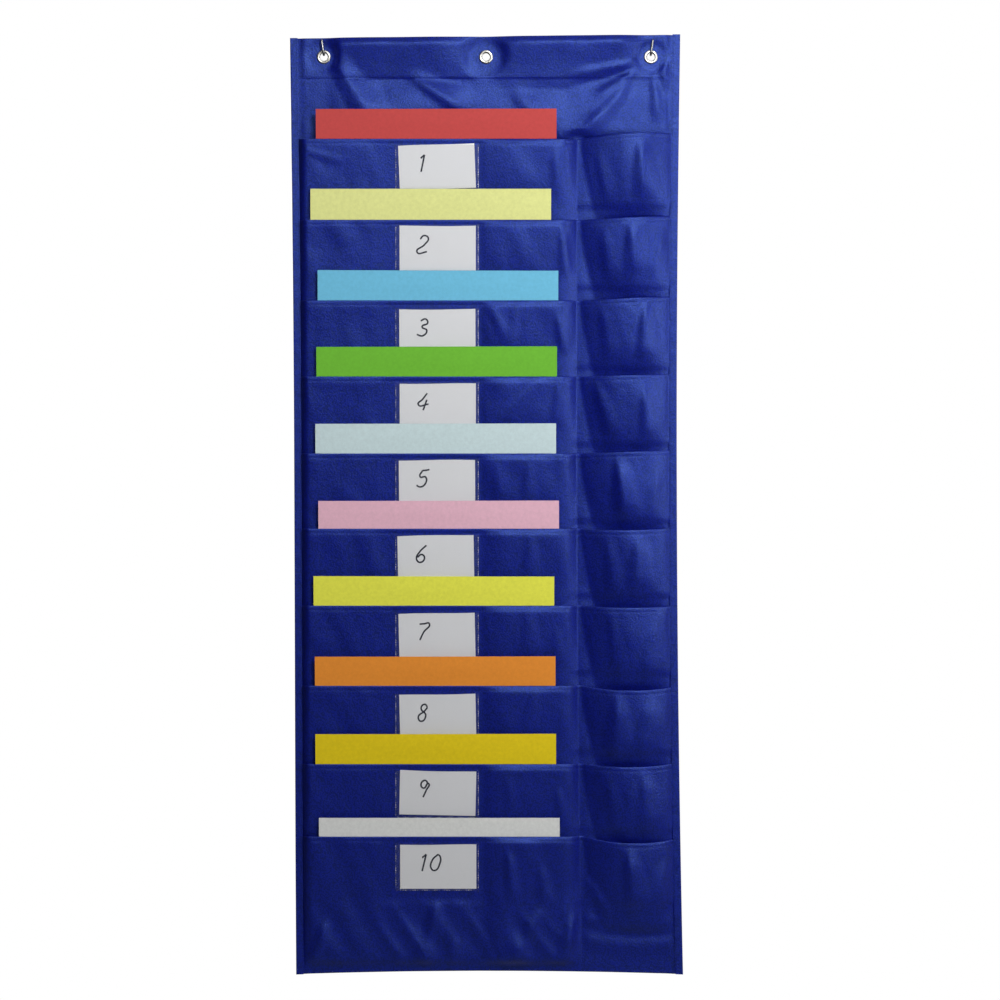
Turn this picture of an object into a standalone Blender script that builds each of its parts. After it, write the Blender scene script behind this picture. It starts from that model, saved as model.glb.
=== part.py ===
"""A hanging storage pocket chart, in metres.

A cloth back panel hangs from three eyelets. Ten strips of cloth cascade down its front, and a
seam parts each of them into a wide file pocket and a narrow phone pocket. +Z is up, the front
faces -Y, and the origin is the middle eyelet's centre on the panel's back face.
"""
import math

import bmesh
import bpy
from mathutils import Vector

# Cloth, tape and clearance
CLOTH = 0.0005
CLEARANCE = 0.0003
TAPE_WIDTH = 0.009

# The hung panel, measured from the line of the eyelets
CHART_WIDTH = 0.478
TOP_EDGE = 0.0248
BOTTOM_EDGE = -1.1307
TOP_SLANT = 0.0023
BOTTOM_BOW = 0.004
HEADER_STITCH = -0.0258
BOTTOM_HEM = 0.008

# How the hung cloth strays from a rectangle: wider at the top, drawn in at its waist, and
# drifting sideways towards the bottom
TOP_FLARE = 0.0022
WAIST_DRAW = 0.0026
SIDE_DRIFT = 0.0012
HEM_DRIFT = 0.0056
FLARE_SHARE = 0.45

# Pocket strips
STRIP_HEIGHT = 0.166
MOUTH_HEM = 0.0065
FILE_DEPTH = 0.0165
PHONE_DEPTH = 0.018
PHONE_POCKET_HEIGHT = 0.114
DIVIDER_PLACE = 0.1145
DIVIDER_SEAM = 0.0015
LEFT_RAMP = 0.0125
RIGHT_RAMP = 0.0205
FOLD_GAP = 0.00545
FOLD_RISE = 0.003
PHONE_RISE = 0.0075
PHONE_SAG = 0.006
PHONE_CREST_SHARE = 0.55
# Down a strip: the middle of its free front, and the stretch where its ends come down from over
# the strip above to the panel
STRIP_MIDDLE = 0.036
STEP_START = 0.078
STEP_END = 0.088

# Places of the ten mouths, down the field from the header's stitching to the bottom edge
MOUTH_SHARES = (0.0695, 0.160, 0.250, 0.335, 0.421, 0.505, 0.591, 0.6805, 0.768, 0.849)
# How each phone mouth rises to the right, and how far its middle hangs, from the top row down
RISE_SHARES = (1.0, 0.7, 0.66, 0.38, 0.5, 0.08, -0.16, -0.33, -0.07, -0.6)
SAG_SHARES = (-0.45, 0.0, 0.0, 0.0, 0.0, 0.36, 0.32, 0.76, 0.56, 0.95)
# Where each file pocket's soft fold stands in its fold zone, and how strong it is
FOLD_SHARES = (0.84, 0.8, 0.3, 0.55, 0.42, 0.45, 0.42, 0.36, 0.42, 0.3)
FOLD_STRENGTH_SHARES = (1.0, 0.9, 0.8, 0.9, 0.6, 0.6, 0.7, 0.6, 0.5, 0.8)

# Card windows and cards
WINDOW_WIDTH = 0.104
WINDOW_HEIGHT = 0.0596
WINDOW_DROP = 0.0075
WINDOW_DROP_SPREAD = 0.002
WINDOW_OFFSET = 0.0027
WINDOW_RIM = 0.0025
VINYL = 0.0004
CARD_WIDTH = 0.094
CARD_HEIGHT = 0.055
CARD_THICKNESS = 0.0004
CARD_SHIFT = 0.0015
WINDOW_DROP_SHARES = (-0.3, -1.0, 0.9, -0.35, -0.45, -0.15, 0.45, 1.0, 0.0, 0.2)
CARD_SHIFT_SHARES = (0.0, 0.5, 0.3, 0.6, 0.0, -1.0, 0.0, 0.6, 0.6, 1.0)
CARD_TILTS = (2.2, 0.0, 0.2, 0.0, 0.4, 1.0, 1.2, 1.1, -1.2, 0.0)

# Coloured sheets
SHEET_WIDTH = 0.297
SHEET_HEIGHT = 0.1869
LAST_SHEET_HEIGHT = 0.1757
SHEET_THICKNESS = 0.0004
SHEET_PLAY = 0.0004
SHEET_LIFT = 0.0037
SHEET_OFFSET = 0.0036
SHEET_STRAY = 0.007
SHEET_STRAY_SHARES = (0.0, -0.97, 0.27, 0.1, -0.08, 0.44, -0.44, -0.17, -0.08, 0.54)
SHEET_LIFT_SHARES = (0.65, 1.0, 0.65, 0.65, 0.65, 0.0, 0.5, 0.5, 0.8, 0.0)
SHEET_TILTS = (0.1, 0.0, -0.15, 0.15, 0.1, 0.1, -0.1, 0.1, 0.1, 0.0)

# Eyelets, washers and hooks
LEFT_EYELET_INSET = 0.0383
RIGHT_EYELET_INSET = 0.0351
BORE_RADIUS = 0.00475
FLANGE_RADIUS = 0.0085
FLANGE_HEIGHT = 0.0018
BARREL_WALL = 0.00045
WASHER_THICKNESS = 0.0006
ROLL_WIDTH = 0.0013
HOOK_WIRE = 0.003
HOOK_BEND = 0.004
HOOK_TOP_BEND = 0.0045
HOOK_TIP = 0.0215
HOOK_CROWN = 0.0205
HOOK_TAIL = 0.006
HOOK_LEAN = 8.0

# Header folds
HEADER_FOLD = 0.0028
FOLD_SPREAD = 0.02
FOLD_FOOT = -0.118
EYELET_FLAT = 0.011

ROWS = len(MOUTH_SHARES)
HALF_WIDTH = CHART_WIDTH / 2
EDGE_INSET = CLOTH + CLEARANCE
PANEL_REACH = HALF_WIDTH - EDGE_INSET
SEAM_REACH = HALF_WIDTH - TAPE_WIDTH
LOW_SEAM = CLOTH + CLEARANCE
HIGH_SEAM = LOW_SEAM + CLOTH + CLEARANCE + CLOTH
TAPE_FRONT = HIGH_SEAM + CLOTH + CLEARANCE
TAPE_BACK = CLOTH + CLEARANCE
FILE_MIDDLE = (DIVIDER_PLACE - SEAM_REACH) / 2
WINDOW_RIGHT = FILE_MIDDLE - WINDOW_OFFSET + WINDOW_WIDTH / 2
FOLD_ZONE = DIVIDER_PLACE - RIGHT_RAMP - WINDOW_RIGHT - FOLD_GAP
LEFT_EYELET = LEFT_EYELET_INSET - HALF_WIDTH
RIGHT_EYELET = HALF_WIDTH - RIGHT_EYELET_INSET
EYELETS = (("left", LEFT_EYELET), ("middle", 0.0), ("right", RIGHT_EYELET))
ROUND_SIDES = 20

BLUE = (0.022, 0.042, 0.27)
TAPE_BLUE = (0.025, 0.05, 0.27)
SHEET_COLOURS = (
    (0.52, 0.05, 0.05),
    (0.68, 0.7, 0.26),
    (0.14, 0.46, 0.7),
    (0.14, 0.46, 0.03),
    (0.48, 0.63, 0.65),
    (0.66, 0.38, 0.5),
    (0.61, 0.64, 0.06),
    (0.68, 0.22, 0.03),
    (0.58, 0.46, 0.01),
    (0.52, 0.52, 0.46),
)


def clear_scene():
    """Takes out whatever the file holds at the start."""
    for old in list(bpy.data.objects):
        bpy.data.objects.remove(old, do_unlink=True)


def material(name, colour, roughness, metallic=0.0):
    """A plain Principled finish."""
    made = bpy.data.materials.new(name)
    made.use_nodes = True
    shader = made.node_tree.nodes["Principled BSDF"]
    shader.inputs["Base Color"].default_value = (*colour, 1.0)
    shader.inputs["Roughness"].default_value = roughness
    shader.inputs["Metallic"].default_value = metallic
    return made


def mesh_object(name, points, faces, finish, smooth=False):
    """One closed body from its points and faces, its faces turned outwards."""
    mesh = bpy.data.meshes.new(name)
    mesh.from_pydata(points, [], faces)
    solid = bmesh.new()
    solid.from_mesh(mesh)
    bmesh.ops.recalc_face_normals(solid, faces=solid.faces)
    solid.to_mesh(mesh)
    solid.free()
    if smooth:
        mesh.shade_smooth()
    mesh.materials.append(finish)
    made = bpy.data.objects.new(name, mesh)
    bpy.context.scene.collection.objects.link(made)
    return made


def cloth_object(name, front, back, finish):
    """A cloth body between two grids of points, given as lists of columns.

    Front and back are cut into triangles along the same diagonals, so that they stay parallel.
    """
    columns = len(front)
    rows = len(front[0])
    points = [p for column in front for p in column] + [p for column in back for p in column]
    behind = columns * rows

    def at(column, row):
        return column * rows + row

    faces = []
    for i in range(columns - 1):
        for j in range(rows - 1):
            upper, lower = (at(i, j), at(i + 1, j)), (at(i, j + 1), at(i + 1, j + 1))
            for cut in ((upper[0], *lower), (upper[0], lower[1], upper[1])):
                faces.append(cut)
                faces.append(tuple(behind + p for p in reversed(cut)))
    rim = [at(i, 0) for i in range(columns)]
    rim += [at(columns - 1, j) for j in range(1, rows)]
    rim += [at(i, rows - 1) for i in range(columns - 2, -1, -1)]
    rim += [at(0, j) for j in range(rows - 2, 0, -1)]
    for here, there in zip(rim, rim[1:] + rim[:1]):
        faces.append((here, there, behind + there, behind + here))
    return mesh_object(name, points, faces, finish)


def smooth(share):
    """An even rise from 0 to 1."""
    held = min(1.0, max(0.0, share))
    return held * held * (3.0 - 2.0 * held)


def down_share(z):
    """0 at the panel's top edge, 1 at its bottom edge."""
    return (TOP_EDGE - z) / (TOP_EDGE - BOTTOM_EDGE)


def hung_x(x, z):
    """Where a point of the flat chart comes to lie across once the chart hangs."""
    share = down_share(z)
    flare = TOP_FLARE * max(0.0, 1.0 - share / FLARE_SHARE) ** 2
    reach = HALF_WIDTH + flare - WAIST_DRAW * math.sin(math.pi * share)
    return HEM_DRIFT * share ** 3 - SIDE_DRIFT + x * reach / HALF_WIDTH


def top_edge(x):
    """Height of the panel's top edge."""
    return TOP_EDGE + TOP_SLANT * x / HALF_WIDTH


def bottom_edge(x):
    """Height of the panel's bottom edge, whose corners hang lowest."""
    return BOTTOM_EDGE - BOTTOM_BOW * (x / HALF_WIDTH) ** 2


def mouth_height(row):
    """Height of a file pocket's mouth."""
    return HEADER_STITCH + MOUTH_SHARES[row] * (BOTTOM_EDGE - HEADER_STITCH)


def phone_share(x):
    """0 at the divider seam, 1 at the right seam."""
    start = DIVIDER_PLACE + DIVIDER_SEAM
    return min(1.0, max(0.0, (x - start) / (SEAM_REACH - start)))


def mouth_edge(row, x):
    """Height of a strip's top edge: level over the file pocket, sagging over the phone pocket."""
    share = phone_share(x)
    rise = PHONE_RISE * RISE_SHARES[row] * share
    sag = PHONE_SAG * SAG_SHARES[row] * 4.0 * share * (1.0 - share)
    return mouth_height(row) + rise - sag


def strip_foot(row, x):
    """Height of a strip's bottom edge. The last strip ends in the panel's bottom hem."""
    if row == ROWS - 1:
        return bottom_edge(x) + EDGE_INSET
    return mouth_height(row) - STRIP_HEIGHT


def seam_depth(below):
    """Depth of a strip's back face where it is sewn down, over one more strip near its mouth."""
    stepped = smooth((below - STEP_START) / (STEP_END - STEP_START))
    return HIGH_SEAM - (HIGH_SEAM - LOW_SEAM) * stepped


def file_depth(below):
    """Depth of a file pocket's plane back face."""
    return LOW_SEAM + (FILE_DEPTH - LOW_SEAM) * max(0.0, 1.0 - below / STRIP_HEIGHT)


def file_fold(row, x, below):
    """A soft upright fold in the right half of a file pocket, which dies away downwards."""
    fold_end = DIVIDER_PLACE - RIGHT_RAMP
    middle = fold_end - FOLD_ZONE * (1.0 - FOLD_SHARES[row])
    half = FOLD_ZONE / 3.0
    edge = half / 2.0
    across = max(0.0, 1.0 - ((x - middle) / half) ** 2)
    inside = smooth((x - fold_end + FOLD_ZONE) / edge) * smooth((fold_end - x) / edge)
    fade = max(0.0, 1.0 - max(0.0, below) / STEP_END)
    return FOLD_RISE * FOLD_STRENGTH_SHARES[row] * across * inside * fade


def phone_bulge(row, x, z):
    """How far a phone pocket stands out from its seams."""
    below = (mouth_edge(row, x) - z) / PHONE_POCKET_HEIGHT
    if below >= 1.0:
        return 0.0
    lean = math.log(0.5) / math.log(PHONE_CREST_SHARE)
    across = max(0.0, math.sin(math.pi * phone_share(x) ** lean))
    return PHONE_DEPTH * across ** 0.8 * (1.0 - max(0.0, below) ** 3)


def strip_depth(row, x, z):
    """Depth of a strip's back face in front of the panel's back face."""
    below = mouth_height(row) - z
    seam = seam_depth(below)
    if x >= DIVIDER_PLACE:
        return seam + phone_bulge(row, x, z)
    left = (x + SEAM_REACH) / LEFT_RAMP
    right = (DIVIDER_PLACE - x) / RIGHT_RAMP
    return seam + (file_depth(below) - seam) * smooth(min(left, right)) + file_fold(row, x, below)


def strip_columns():
    """Places across a strip, from its left end to its right end."""
    columns = [-PANEL_REACH, -SEAM_REACH]
    ramp_shares = (0.33, 0.67, 1.0)
    fold_shares = (0.0, 0.17, 0.33, 0.5, 0.67, 0.83, 1.0)
    phone_shares = (0.0, 0.09, 0.22, 0.38, 0.54, 0.7, 0.84, 0.94, 1.0)
    columns += [LEFT_RAMP * share - SEAM_REACH for share in ramp_shares]
    fold_end = DIVIDER_PLACE - RIGHT_RAMP
    columns += [fold_end - FOLD_ZONE * (1.0 - share) for share in fold_shares]
    columns += [fold_end + RIGHT_RAMP * share for share in ramp_shares]
    start = DIVIDER_PLACE + DIVIDER_SEAM
    columns += [start + (SEAM_REACH - start) * share for share in phone_shares]
    return columns + [PANEL_REACH]


def strip_heights(row, x):
    """Heights down one column of a strip, each with whether the mouth's hem backs it."""
    mouth = mouth_edge(row, x)
    level = mouth_height(row)
    return (
        (mouth, True),
        (mouth - MOUTH_HEM, True),
        (mouth - MOUTH_HEM - CLOTH, False),
        (mouth - STRIP_MIDDLE, False),
        (level - STEP_START, False),
        (level - STEP_END, False),
        (mouth - PHONE_POCKET_HEIGHT, False),
        (strip_foot(row, x), False),
    )


def pocket_strip(row, finish):
    """A strip of cloth, its mouth's hem turned inwards."""
    front = []
    back = []
    for x in strip_columns():
        fronts = []
        backs = []
        for z, hemmed in strip_heights(row, x):
            depth = strip_depth(row, x, z)
            across = hung_x(x, z)
            fronts.append((across, -depth - CLOTH, z))
            backs.append((across, -depth + (CLOTH if hemmed else 0.0), z))
        front.append(fronts)
        back.append(backs)
    cloth_object(f"pocket_strip_{row + 1:02d}", front, back, finish)


# Each header fold's eyelet, and how far across it runs as a share of half the chart's width
FOLD_RUN_SHARES = (
    (LEFT_EYELET, 0.20),
    (LEFT_EYELET, 0.50),
    (RIGHT_EYELET, -0.42),
    (RIGHT_EYELET, -0.14),
)


def header_fold(x, z):
    """Folds that fan down and inwards from the outer eyelets."""
    near = min(max(abs(x - place), abs(z)) for side, place in EYELETS)
    calm = smooth((near - EYELET_FLAT) / FOLD_SPREAD)
    calm *= smooth((SEAM_REACH - abs(x)) / FOLD_SPREAD)
    fade = smooth((z - FOLD_FOOT) / FOLD_SPREAD)
    rise = 0.0
    along = min(1.0, max(0.0, z / FOLD_FOOT))
    for eyelet, run_share in FOLD_RUN_SHARES:
        crest = eyelet + run_share * HALF_WIDTH * along
        width = FOLD_SPREAD * (0.5 + along)
        rise = max(rise, 1.0 - ((x - crest) / width) ** 2)
    return HEADER_FOLD * rise * calm * fade


def side_stations():
    """Heights at which the long edges bend, from the last mouth row down to the bottom hem."""
    shares = (0.2, 0.35, 0.5, 0.65, 0.8, 0.92)
    return [BOTTOM_EDGE * share for share in shares]


def back_panel(finish):
    """The panel, with its header and its bottom hem turned to the back."""
    columns = [-PANEL_REACH, -SEAM_REACH, SEAM_REACH, PANEL_REACH]
    between_shares = (0.0, 0.2, 0.4, 0.6, 0.8, 1.0)
    for left, right in ((LEFT_EYELET, 0.0), (0.0, RIGHT_EYELET)):
        run = right - left - 2.0 * EYELET_FLAT
        columns += [left + EYELET_FLAT + run * share for share in between_shares]
    columns += [LEFT_EYELET - EYELET_FLAT, RIGHT_EYELET + EYELET_FLAT]
    columns.sort()
    fold_row_shares = (0.38, 0.55, 0.72, 1.0)
    front = []
    back = []
    for x in columns:
        heights = [(top_edge(x), True), (EYELET_FLAT, True), (-EYELET_FLAT, True)]
        heights += [(HEADER_STITCH, True), (HEADER_STITCH - CLOTH, False)]
        heights += [(FOLD_FOOT * share, False) for share in fold_row_shares]
        heights += [(z, False) for z in side_stations()]
        hem = bottom_edge(x) + BOTTOM_HEM
        heights += [(hem + CLOTH, False), (hem, True), (bottom_edge(x), True)]
        fronts = []
        backs = []
        for z, hemmed in heights:
            fold = header_fold(x, z)
            across = hung_x(x, z)
            fronts.append((across, -CLOTH - fold, z))
            backs.append((across, (CLOTH if hemmed else 0.0) - fold, z))
        front.append(fronts)
        back.append(backs)
    panel = cloth_object("back_panel", front, back, finish)
    hole = BORE_RADIUS + BARREL_WALL + CLEARANCE
    for side, place in EYELETS:
        cut = ring_points(((hole, -EYELET_FLAT), (hole, EYELET_FLAT)), place, capped=True)
        cutter = mesh_object(f"eyelet_hole_{side}", *cut, finish)
        cutter.hide_render = True
        cutter.display_type = "WIRE"
        bore = panel.modifiers.new("bore", "BOOLEAN")
        bore.operation = "DIFFERENCE"
        bore.solver = "EXACT"
        bore.object = cutter


def ring_points(profile, place, capped=False):
    """A profile of radius and y turned about a y axis: a ring, or a rod with capped ends."""
    points = []
    for radius, y in profile:
        for side in range(ROUND_SIDES):
            angle = 2.0 * math.pi * side / ROUND_SIDES
            points.append((place + radius * math.sin(angle), y, radius * math.cos(angle)))
    rings = len(profile)
    faces = []
    for ring in range(rings - 1 if capped else rings):
        above = (ring + 1) % rings
        for side in range(ROUND_SIDES):
            beside = (side + 1) % ROUND_SIDES
            faces.append((
                ring * ROUND_SIDES + side,
                ring * ROUND_SIDES + beside,
                above * ROUND_SIDES + beside,
                above * ROUND_SIDES + side,
            ))
    if capped:
        faces.append(tuple(range(ROUND_SIDES)))
        faces.append(tuple(range((rings - 1) * ROUND_SIDES, rings * ROUND_SIDES)))
    return points, faces


def eyelet(name, place, finish):
    """A flange with a rolled crown in front, and a barrel whose end is rolled over the washer."""
    barrel = BORE_RADIUS + BARREL_WALL
    seat = -CLOTH - CLEARANCE
    middle = (barrel + FLANGE_RADIUS) / 2.0
    roll = CLOTH + CLEARANCE + WASHER_THICKNESS + CLEARANCE
    profile = (
        (BORE_RADIUS, seat - FLANGE_HEIGHT * 0.45),
        (barrel, seat - FLANGE_HEIGHT * 0.85),
        (middle, seat - FLANGE_HEIGHT),
        (middle + (FLANGE_RADIUS - middle) * 0.6, seat - FLANGE_HEIGHT * 0.8),
        (FLANGE_RADIUS, seat - FLANGE_HEIGHT * 0.25),
        (FLANGE_RADIUS - BARREL_WALL, seat),
        (barrel, seat),
        (barrel, roll),
        (barrel + ROLL_WIDTH, roll),
        (barrel + ROLL_WIDTH, roll + BARREL_WALL),
        (BORE_RADIUS, roll + BARREL_WALL),
    )
    mesh_object(name, *ring_points(profile, place), finish, smooth=True)


def washer(name, place, finish):
    """The flat ring behind the header."""
    inner = BORE_RADIUS + BARREL_WALL + CLEARANCE
    near = CLOTH + CLEARANCE
    far = near + WASHER_THICKNESS
    profile = ((inner, near), (FLANGE_RADIUS, near), (FLANGE_RADIUS, far), (inner, far))
    mesh_object(name, *ring_points(profile, place), finish)


def arc(middle_y, middle_z, radius, start, end, steps):
    """Points of an arc in the yz plane, angles in degrees from +y towards +z."""
    points = []
    for step in range(steps + 1):
        angle = math.radians(start + (end - start) * step / steps)
        points.append((0.0, middle_y + radius * math.cos(angle), middle_z + radius * math.sin(angle)))
    return points


def hook(name, place, lean, finish):
    """An S-hook of round wire, its lower bend through the bore, its upper bend behind the header."""
    flange = CLOTH + CLEARANCE + FLANGE_HEIGHT
    pivot = BORE_RADIUS - CLEARANCE - HOOK_WIRE / 2.0
    leg = flange + HOOK_BEND
    crown = HOOK_CROWN - pivot - HOOK_WIRE / 2.0 - HOOK_TOP_BEND
    route = [(0.0, -leg, HOOK_TIP - pivot), (0.0, -leg, (HOOK_TIP - pivot + HOOK_BEND) / 2.0)]
    route += arc(-flange, HOOK_BEND, HOOK_BEND, 180.0, 270.0, 4)
    route += arc(flange, HOOK_BEND, HOOK_BEND, -90.0, 0.0, 4)
    route += arc(leg + HOOK_TOP_BEND, crown, HOOK_TOP_BEND, 180.0, 0.0, 6)
    route += [(0.0, leg + 2.0 * HOOK_TOP_BEND, crown - HOOK_TAIL)]
    wire = bpy.data.curves.new(name, "CURVE")
    wire.dimensions = "3D"
    wire.bevel_depth = HOOK_WIRE / 2.0
    wire.bevel_resolution = 2
    wire.use_fill_caps = True
    spline = wire.splines.new("POLY")
    spline.points.add(len(route) - 1)
    for point, (x, y, z) in zip(spline.points, route):
        point.co = (x, y, z, 1.0)
    wire.materials.append(finish)
    made = bpy.data.objects.new(name, wire)
    made.location = (place, 0.0, pivot)
    made.rotation_euler = (0.0, math.radians(lean), 0.0)
    bpy.context.scene.collection.objects.link(made)


def binding(name, side, finish):
    """A tape folded round a long edge. Its front leg steps up over the ends of the strips."""
    outer = side * HALF_WIDTH
    strips_start = mouth_height(0) + PHONE_RISE + TAPE_WIDTH
    stations = [top_edge(outer) + CLOTH, HEADER_STITCH, strips_start + TAPE_WIDTH, strips_start]
    stations += [FOLD_FOOT] + side_stations() + [bottom_edge(outer) - CLOTH]
    points = []
    for z in stations:
        inside = TAPE_FRONT if z <= strips_start else CLOTH + CLEARANCE
        outline = (
            (0.0, TAPE_BACK + CLOTH),
            (0.0, -inside - CLOTH),
            (TAPE_WIDTH, -inside - CLOTH),
            (TAPE_WIDTH, -inside),
            (CLOTH, -inside),
            (CLOTH, TAPE_BACK),
            (TAPE_WIDTH, TAPE_BACK),
            (TAPE_WIDTH, TAPE_BACK + CLOTH),
        )
        for inward, y in outline:
            points.append((hung_x(outer - side * inward, z), y, z))
    sides = len(outline)
    faces = [tuple(range(sides)), tuple(range(len(points) - sides, len(points)))]
    for ring in range(len(stations) - 1):
        for corner in range(sides):
            beside = (corner + 1) % sides
            faces.append((
                ring * sides + corner,
                ring * sides + beside,
                (ring + 1) * sides + beside,
                (ring + 1) * sides + corner,
            ))
    mesh_object(name, points, faces, finish)


def on_strip(row, x, down, out):
    """A point in front of a file pocket's plane face: across, down its slope, and out from it."""
    slope = math.atan2(FILE_DEPTH - LOW_SEAM, STRIP_HEIGHT)
    face = Vector((x, -FILE_DEPTH - CLOTH, mouth_height(row)))
    along = Vector((0.0, math.sin(slope), -math.cos(slope)))
    normal = Vector((0.0, -math.cos(slope), -math.sin(slope)))
    return face + along * down + normal * out


def plate(name, row, place, size, layer, tilt, finish):
    """A thin rectangular plate parallel to a file pocket's face, turned a little in its plane."""
    across, down = place
    width, height = size
    back, thickness = layer
    turn = math.radians(tilt)
    points = []
    for out in (back, back + thickness):
        for side, end in ((-0.5, -0.5), (0.5, -0.5), (0.5, 0.5), (-0.5, 0.5)):
            x = side * width * math.cos(turn) + end * height * math.sin(turn)
            y = end * height * math.cos(turn) - side * width * math.sin(turn)
            points.append(on_strip(row, across + x, down + y, out))
    faces = [(0, 1, 2, 3), (4, 5, 6, 7)]
    faces += [(i, (i + 1) % 4, (i + 1) % 4 + 4, i + 4) for i in range(4)]
    mesh_object(name, points, faces, finish)


def window_top(row):
    """How far down a strip its window starts."""
    return WINDOW_DROP + WINDOW_DROP_SPREAD * WINDOW_DROP_SHARES[row]


def card_window(row, finish):
    """A clear plate with a rim on three sides that stands on the strip, open at the top."""
    top = window_top(row)
    bottom = top + WINDOW_HEIGHT
    left = FILE_MIDDLE - WINDOW_OFFSET - WINDOW_WIDTH / 2.0
    right = left + WINDOW_WIDTH
    foot = CLEARANCE
    floor = CLEARANCE + CARD_THICKNESS + CLEARANCE
    face = floor + VINYL

    def corners(rim, low, out):
        return [
            on_strip(row, left + rim, top, out),
            on_strip(row, right - rim, top, out),
            on_strip(row, right - rim, bottom - low, out),
            on_strip(row, left + rim, bottom - low, out),
        ]

    points = corners(0.0, 0.0, face) + corners(0.0, 0.0, foot)
    points += corners(WINDOW_RIM, WINDOW_RIM, foot) + corners(WINDOW_RIM, WINDOW_RIM, floor)
    faces = [
        (0, 1, 2, 3),
        (1, 2, 6, 5),
        (2, 3, 7, 6),
        (3, 0, 4, 7),
        (4, 7, 11, 8),
        (7, 6, 10, 11),
        (6, 5, 9, 10),
        (8, 11, 15, 12),
        (11, 10, 14, 15),
        (10, 9, 13, 14),
        (12, 15, 14, 13),
        (0, 1, 5, 9, 13, 12, 8, 4),
    ]
    mesh_object(f"card_window_{row + 1:02d}", points, faces, finish)


def name_card(row, finish):
    """A card that stands on its window's bottom rim."""
    turn = abs(math.radians(CARD_TILTS[row]))
    tall = CARD_HEIGHT * math.cos(turn) + CARD_WIDTH * math.sin(turn)
    rest = window_top(row) + WINDOW_HEIGHT - WINDOW_RIM - CLEARANCE
    across = FILE_MIDDLE - WINDOW_OFFSET + CARD_SHIFT * CARD_SHIFT_SHARES[row]
    place = (across, rest - tall / 2.0)
    layer = (CLEARANCE, CARD_THICKNESS)
    name = f"name_card_{row + 1:02d}"
    plate(name, row, place, (CARD_WIDTH, CARD_HEIGHT), layer, CARD_TILTS[row], finish)


def sheet_rest():
    """How far down a strip a sheet slides before the pocket, closing like a wedge, stops it."""
    needed = 2.0 * CLOTH + SHEET_PLAY + SHEET_THICKNESS + CLEARANCE
    return STRIP_HEIGHT * (FILE_DEPTH - needed) / (FILE_DEPTH - LOW_SEAM)


def file_sheet(row, finish):
    """A sheet of paper that stands in its file pocket, right behind the strip."""
    height = LAST_SHEET_HEIGHT if row == ROWS - 1 else SHEET_HEIGHT
    back = -2.0 * CLOTH - SHEET_PLAY - SHEET_THICKNESS
    rest = sheet_rest() - SHEET_LIFT * SHEET_LIFT_SHARES[row]
    across = FILE_MIDDLE - SHEET_OFFSET + SHEET_STRAY * SHEET_STRAY_SHARES[row]
    place = (across, rest - height / 2.0)
    layer = (back, SHEET_THICKNESS)
    name = f"file_sheet_{row + 1:02d}"
    plate(name, row, place, (SHEET_WIDTH, height), layer, SHEET_TILTS[row], finish)


def build():
    """Makes the whole chart, from the panel outwards."""
    clear_scene()
    cloth = material("blue_cloth", BLUE, 0.6)
    tape = material("blue_tape", TAPE_BLUE, 0.6)
    vinyl = material("clear_vinyl", (0.8, 0.85, 0.9), 0.15)
    card = material("white_card", (0.75, 0.76, 0.76), 0.7)
    nickel = material("nickel", (0.75, 0.74, 0.7), 0.2, 1.0)
    wire = material("steel_wire", (0.6, 0.6, 0.6), 0.25, 1.0)
    back_panel(cloth)
    binding("left_binding", -1.0, tape)
    binding("right_binding", 1.0, tape)
    for row in range(ROWS):
        pocket_strip(row, cloth)
        card_window(row, vinyl)
        name_card(row, card)
        file_sheet(row, material(f"paper_{row + 1:02d}", SHEET_COLOURS[row], 0.8))
    for side, place in EYELETS:
        eyelet(f"eyelet_{side}", place, nickel)
        washer(f"eyelet_washer_{side}", place, nickel)
    hook("hook_left", LEFT_EYELET, -HOOK_LEAN, wire)
    hook("hook_right", RIGHT_EYELET, HOOK_LEAN, wire)


build()
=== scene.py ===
import math

import bpy
import numpy as np
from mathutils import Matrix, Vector, noise


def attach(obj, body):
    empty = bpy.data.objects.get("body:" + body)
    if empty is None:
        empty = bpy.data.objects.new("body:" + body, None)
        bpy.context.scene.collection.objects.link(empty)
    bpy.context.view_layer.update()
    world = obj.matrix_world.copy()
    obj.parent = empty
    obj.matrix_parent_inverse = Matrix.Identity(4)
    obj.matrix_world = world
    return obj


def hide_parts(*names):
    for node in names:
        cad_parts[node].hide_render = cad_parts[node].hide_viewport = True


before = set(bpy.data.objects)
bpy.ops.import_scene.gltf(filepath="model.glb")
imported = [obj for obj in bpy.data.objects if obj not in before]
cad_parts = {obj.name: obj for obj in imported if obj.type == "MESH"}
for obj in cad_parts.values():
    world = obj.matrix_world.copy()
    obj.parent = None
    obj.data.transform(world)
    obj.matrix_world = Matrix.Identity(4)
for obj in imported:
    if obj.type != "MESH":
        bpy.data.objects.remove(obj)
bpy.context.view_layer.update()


# Back panel. One piece of royal blue woven nylon, a little over a metre long. Its header is turned
# down behind and stitched, its foot has a narrow turned hem, and the two hooks pull folds through
# the header that fan out from the outer eyelets.
CLOTH = 0.00046
# Two layers of cloth that lie on each other are each this far from the plane between them
LAYER = 0.00025
CHART_WIDTH = 0.478
HALF_WIDTH = CHART_WIDTH / 2
# The panel ends in the fold of its tapes, and the strips are sewn down at the tapes' inner edge
PANEL_REACH = 0.2382
SEAM_REACH = 0.230
TOP_EDGE = 0.0248
BOTTOM_EDGE = -1.1307
TOP_SLANT = 0.0023
BOTTOM_BOW = 0.004
HEADER_STITCH = -0.0258
HEADER_HEM = 0.0018
BOTTOM_HEM = 0.008
# As it hangs, the chart is wider at the top, drawn in at its waist and drifts sideways
TOP_FLARE = 0.0022
WAIST_DRAW = 0.0026
SIDE_DRIFT = 0.0012
HEM_DRIFT = 0.0056
FLARE_SHARE = 0.45
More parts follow.
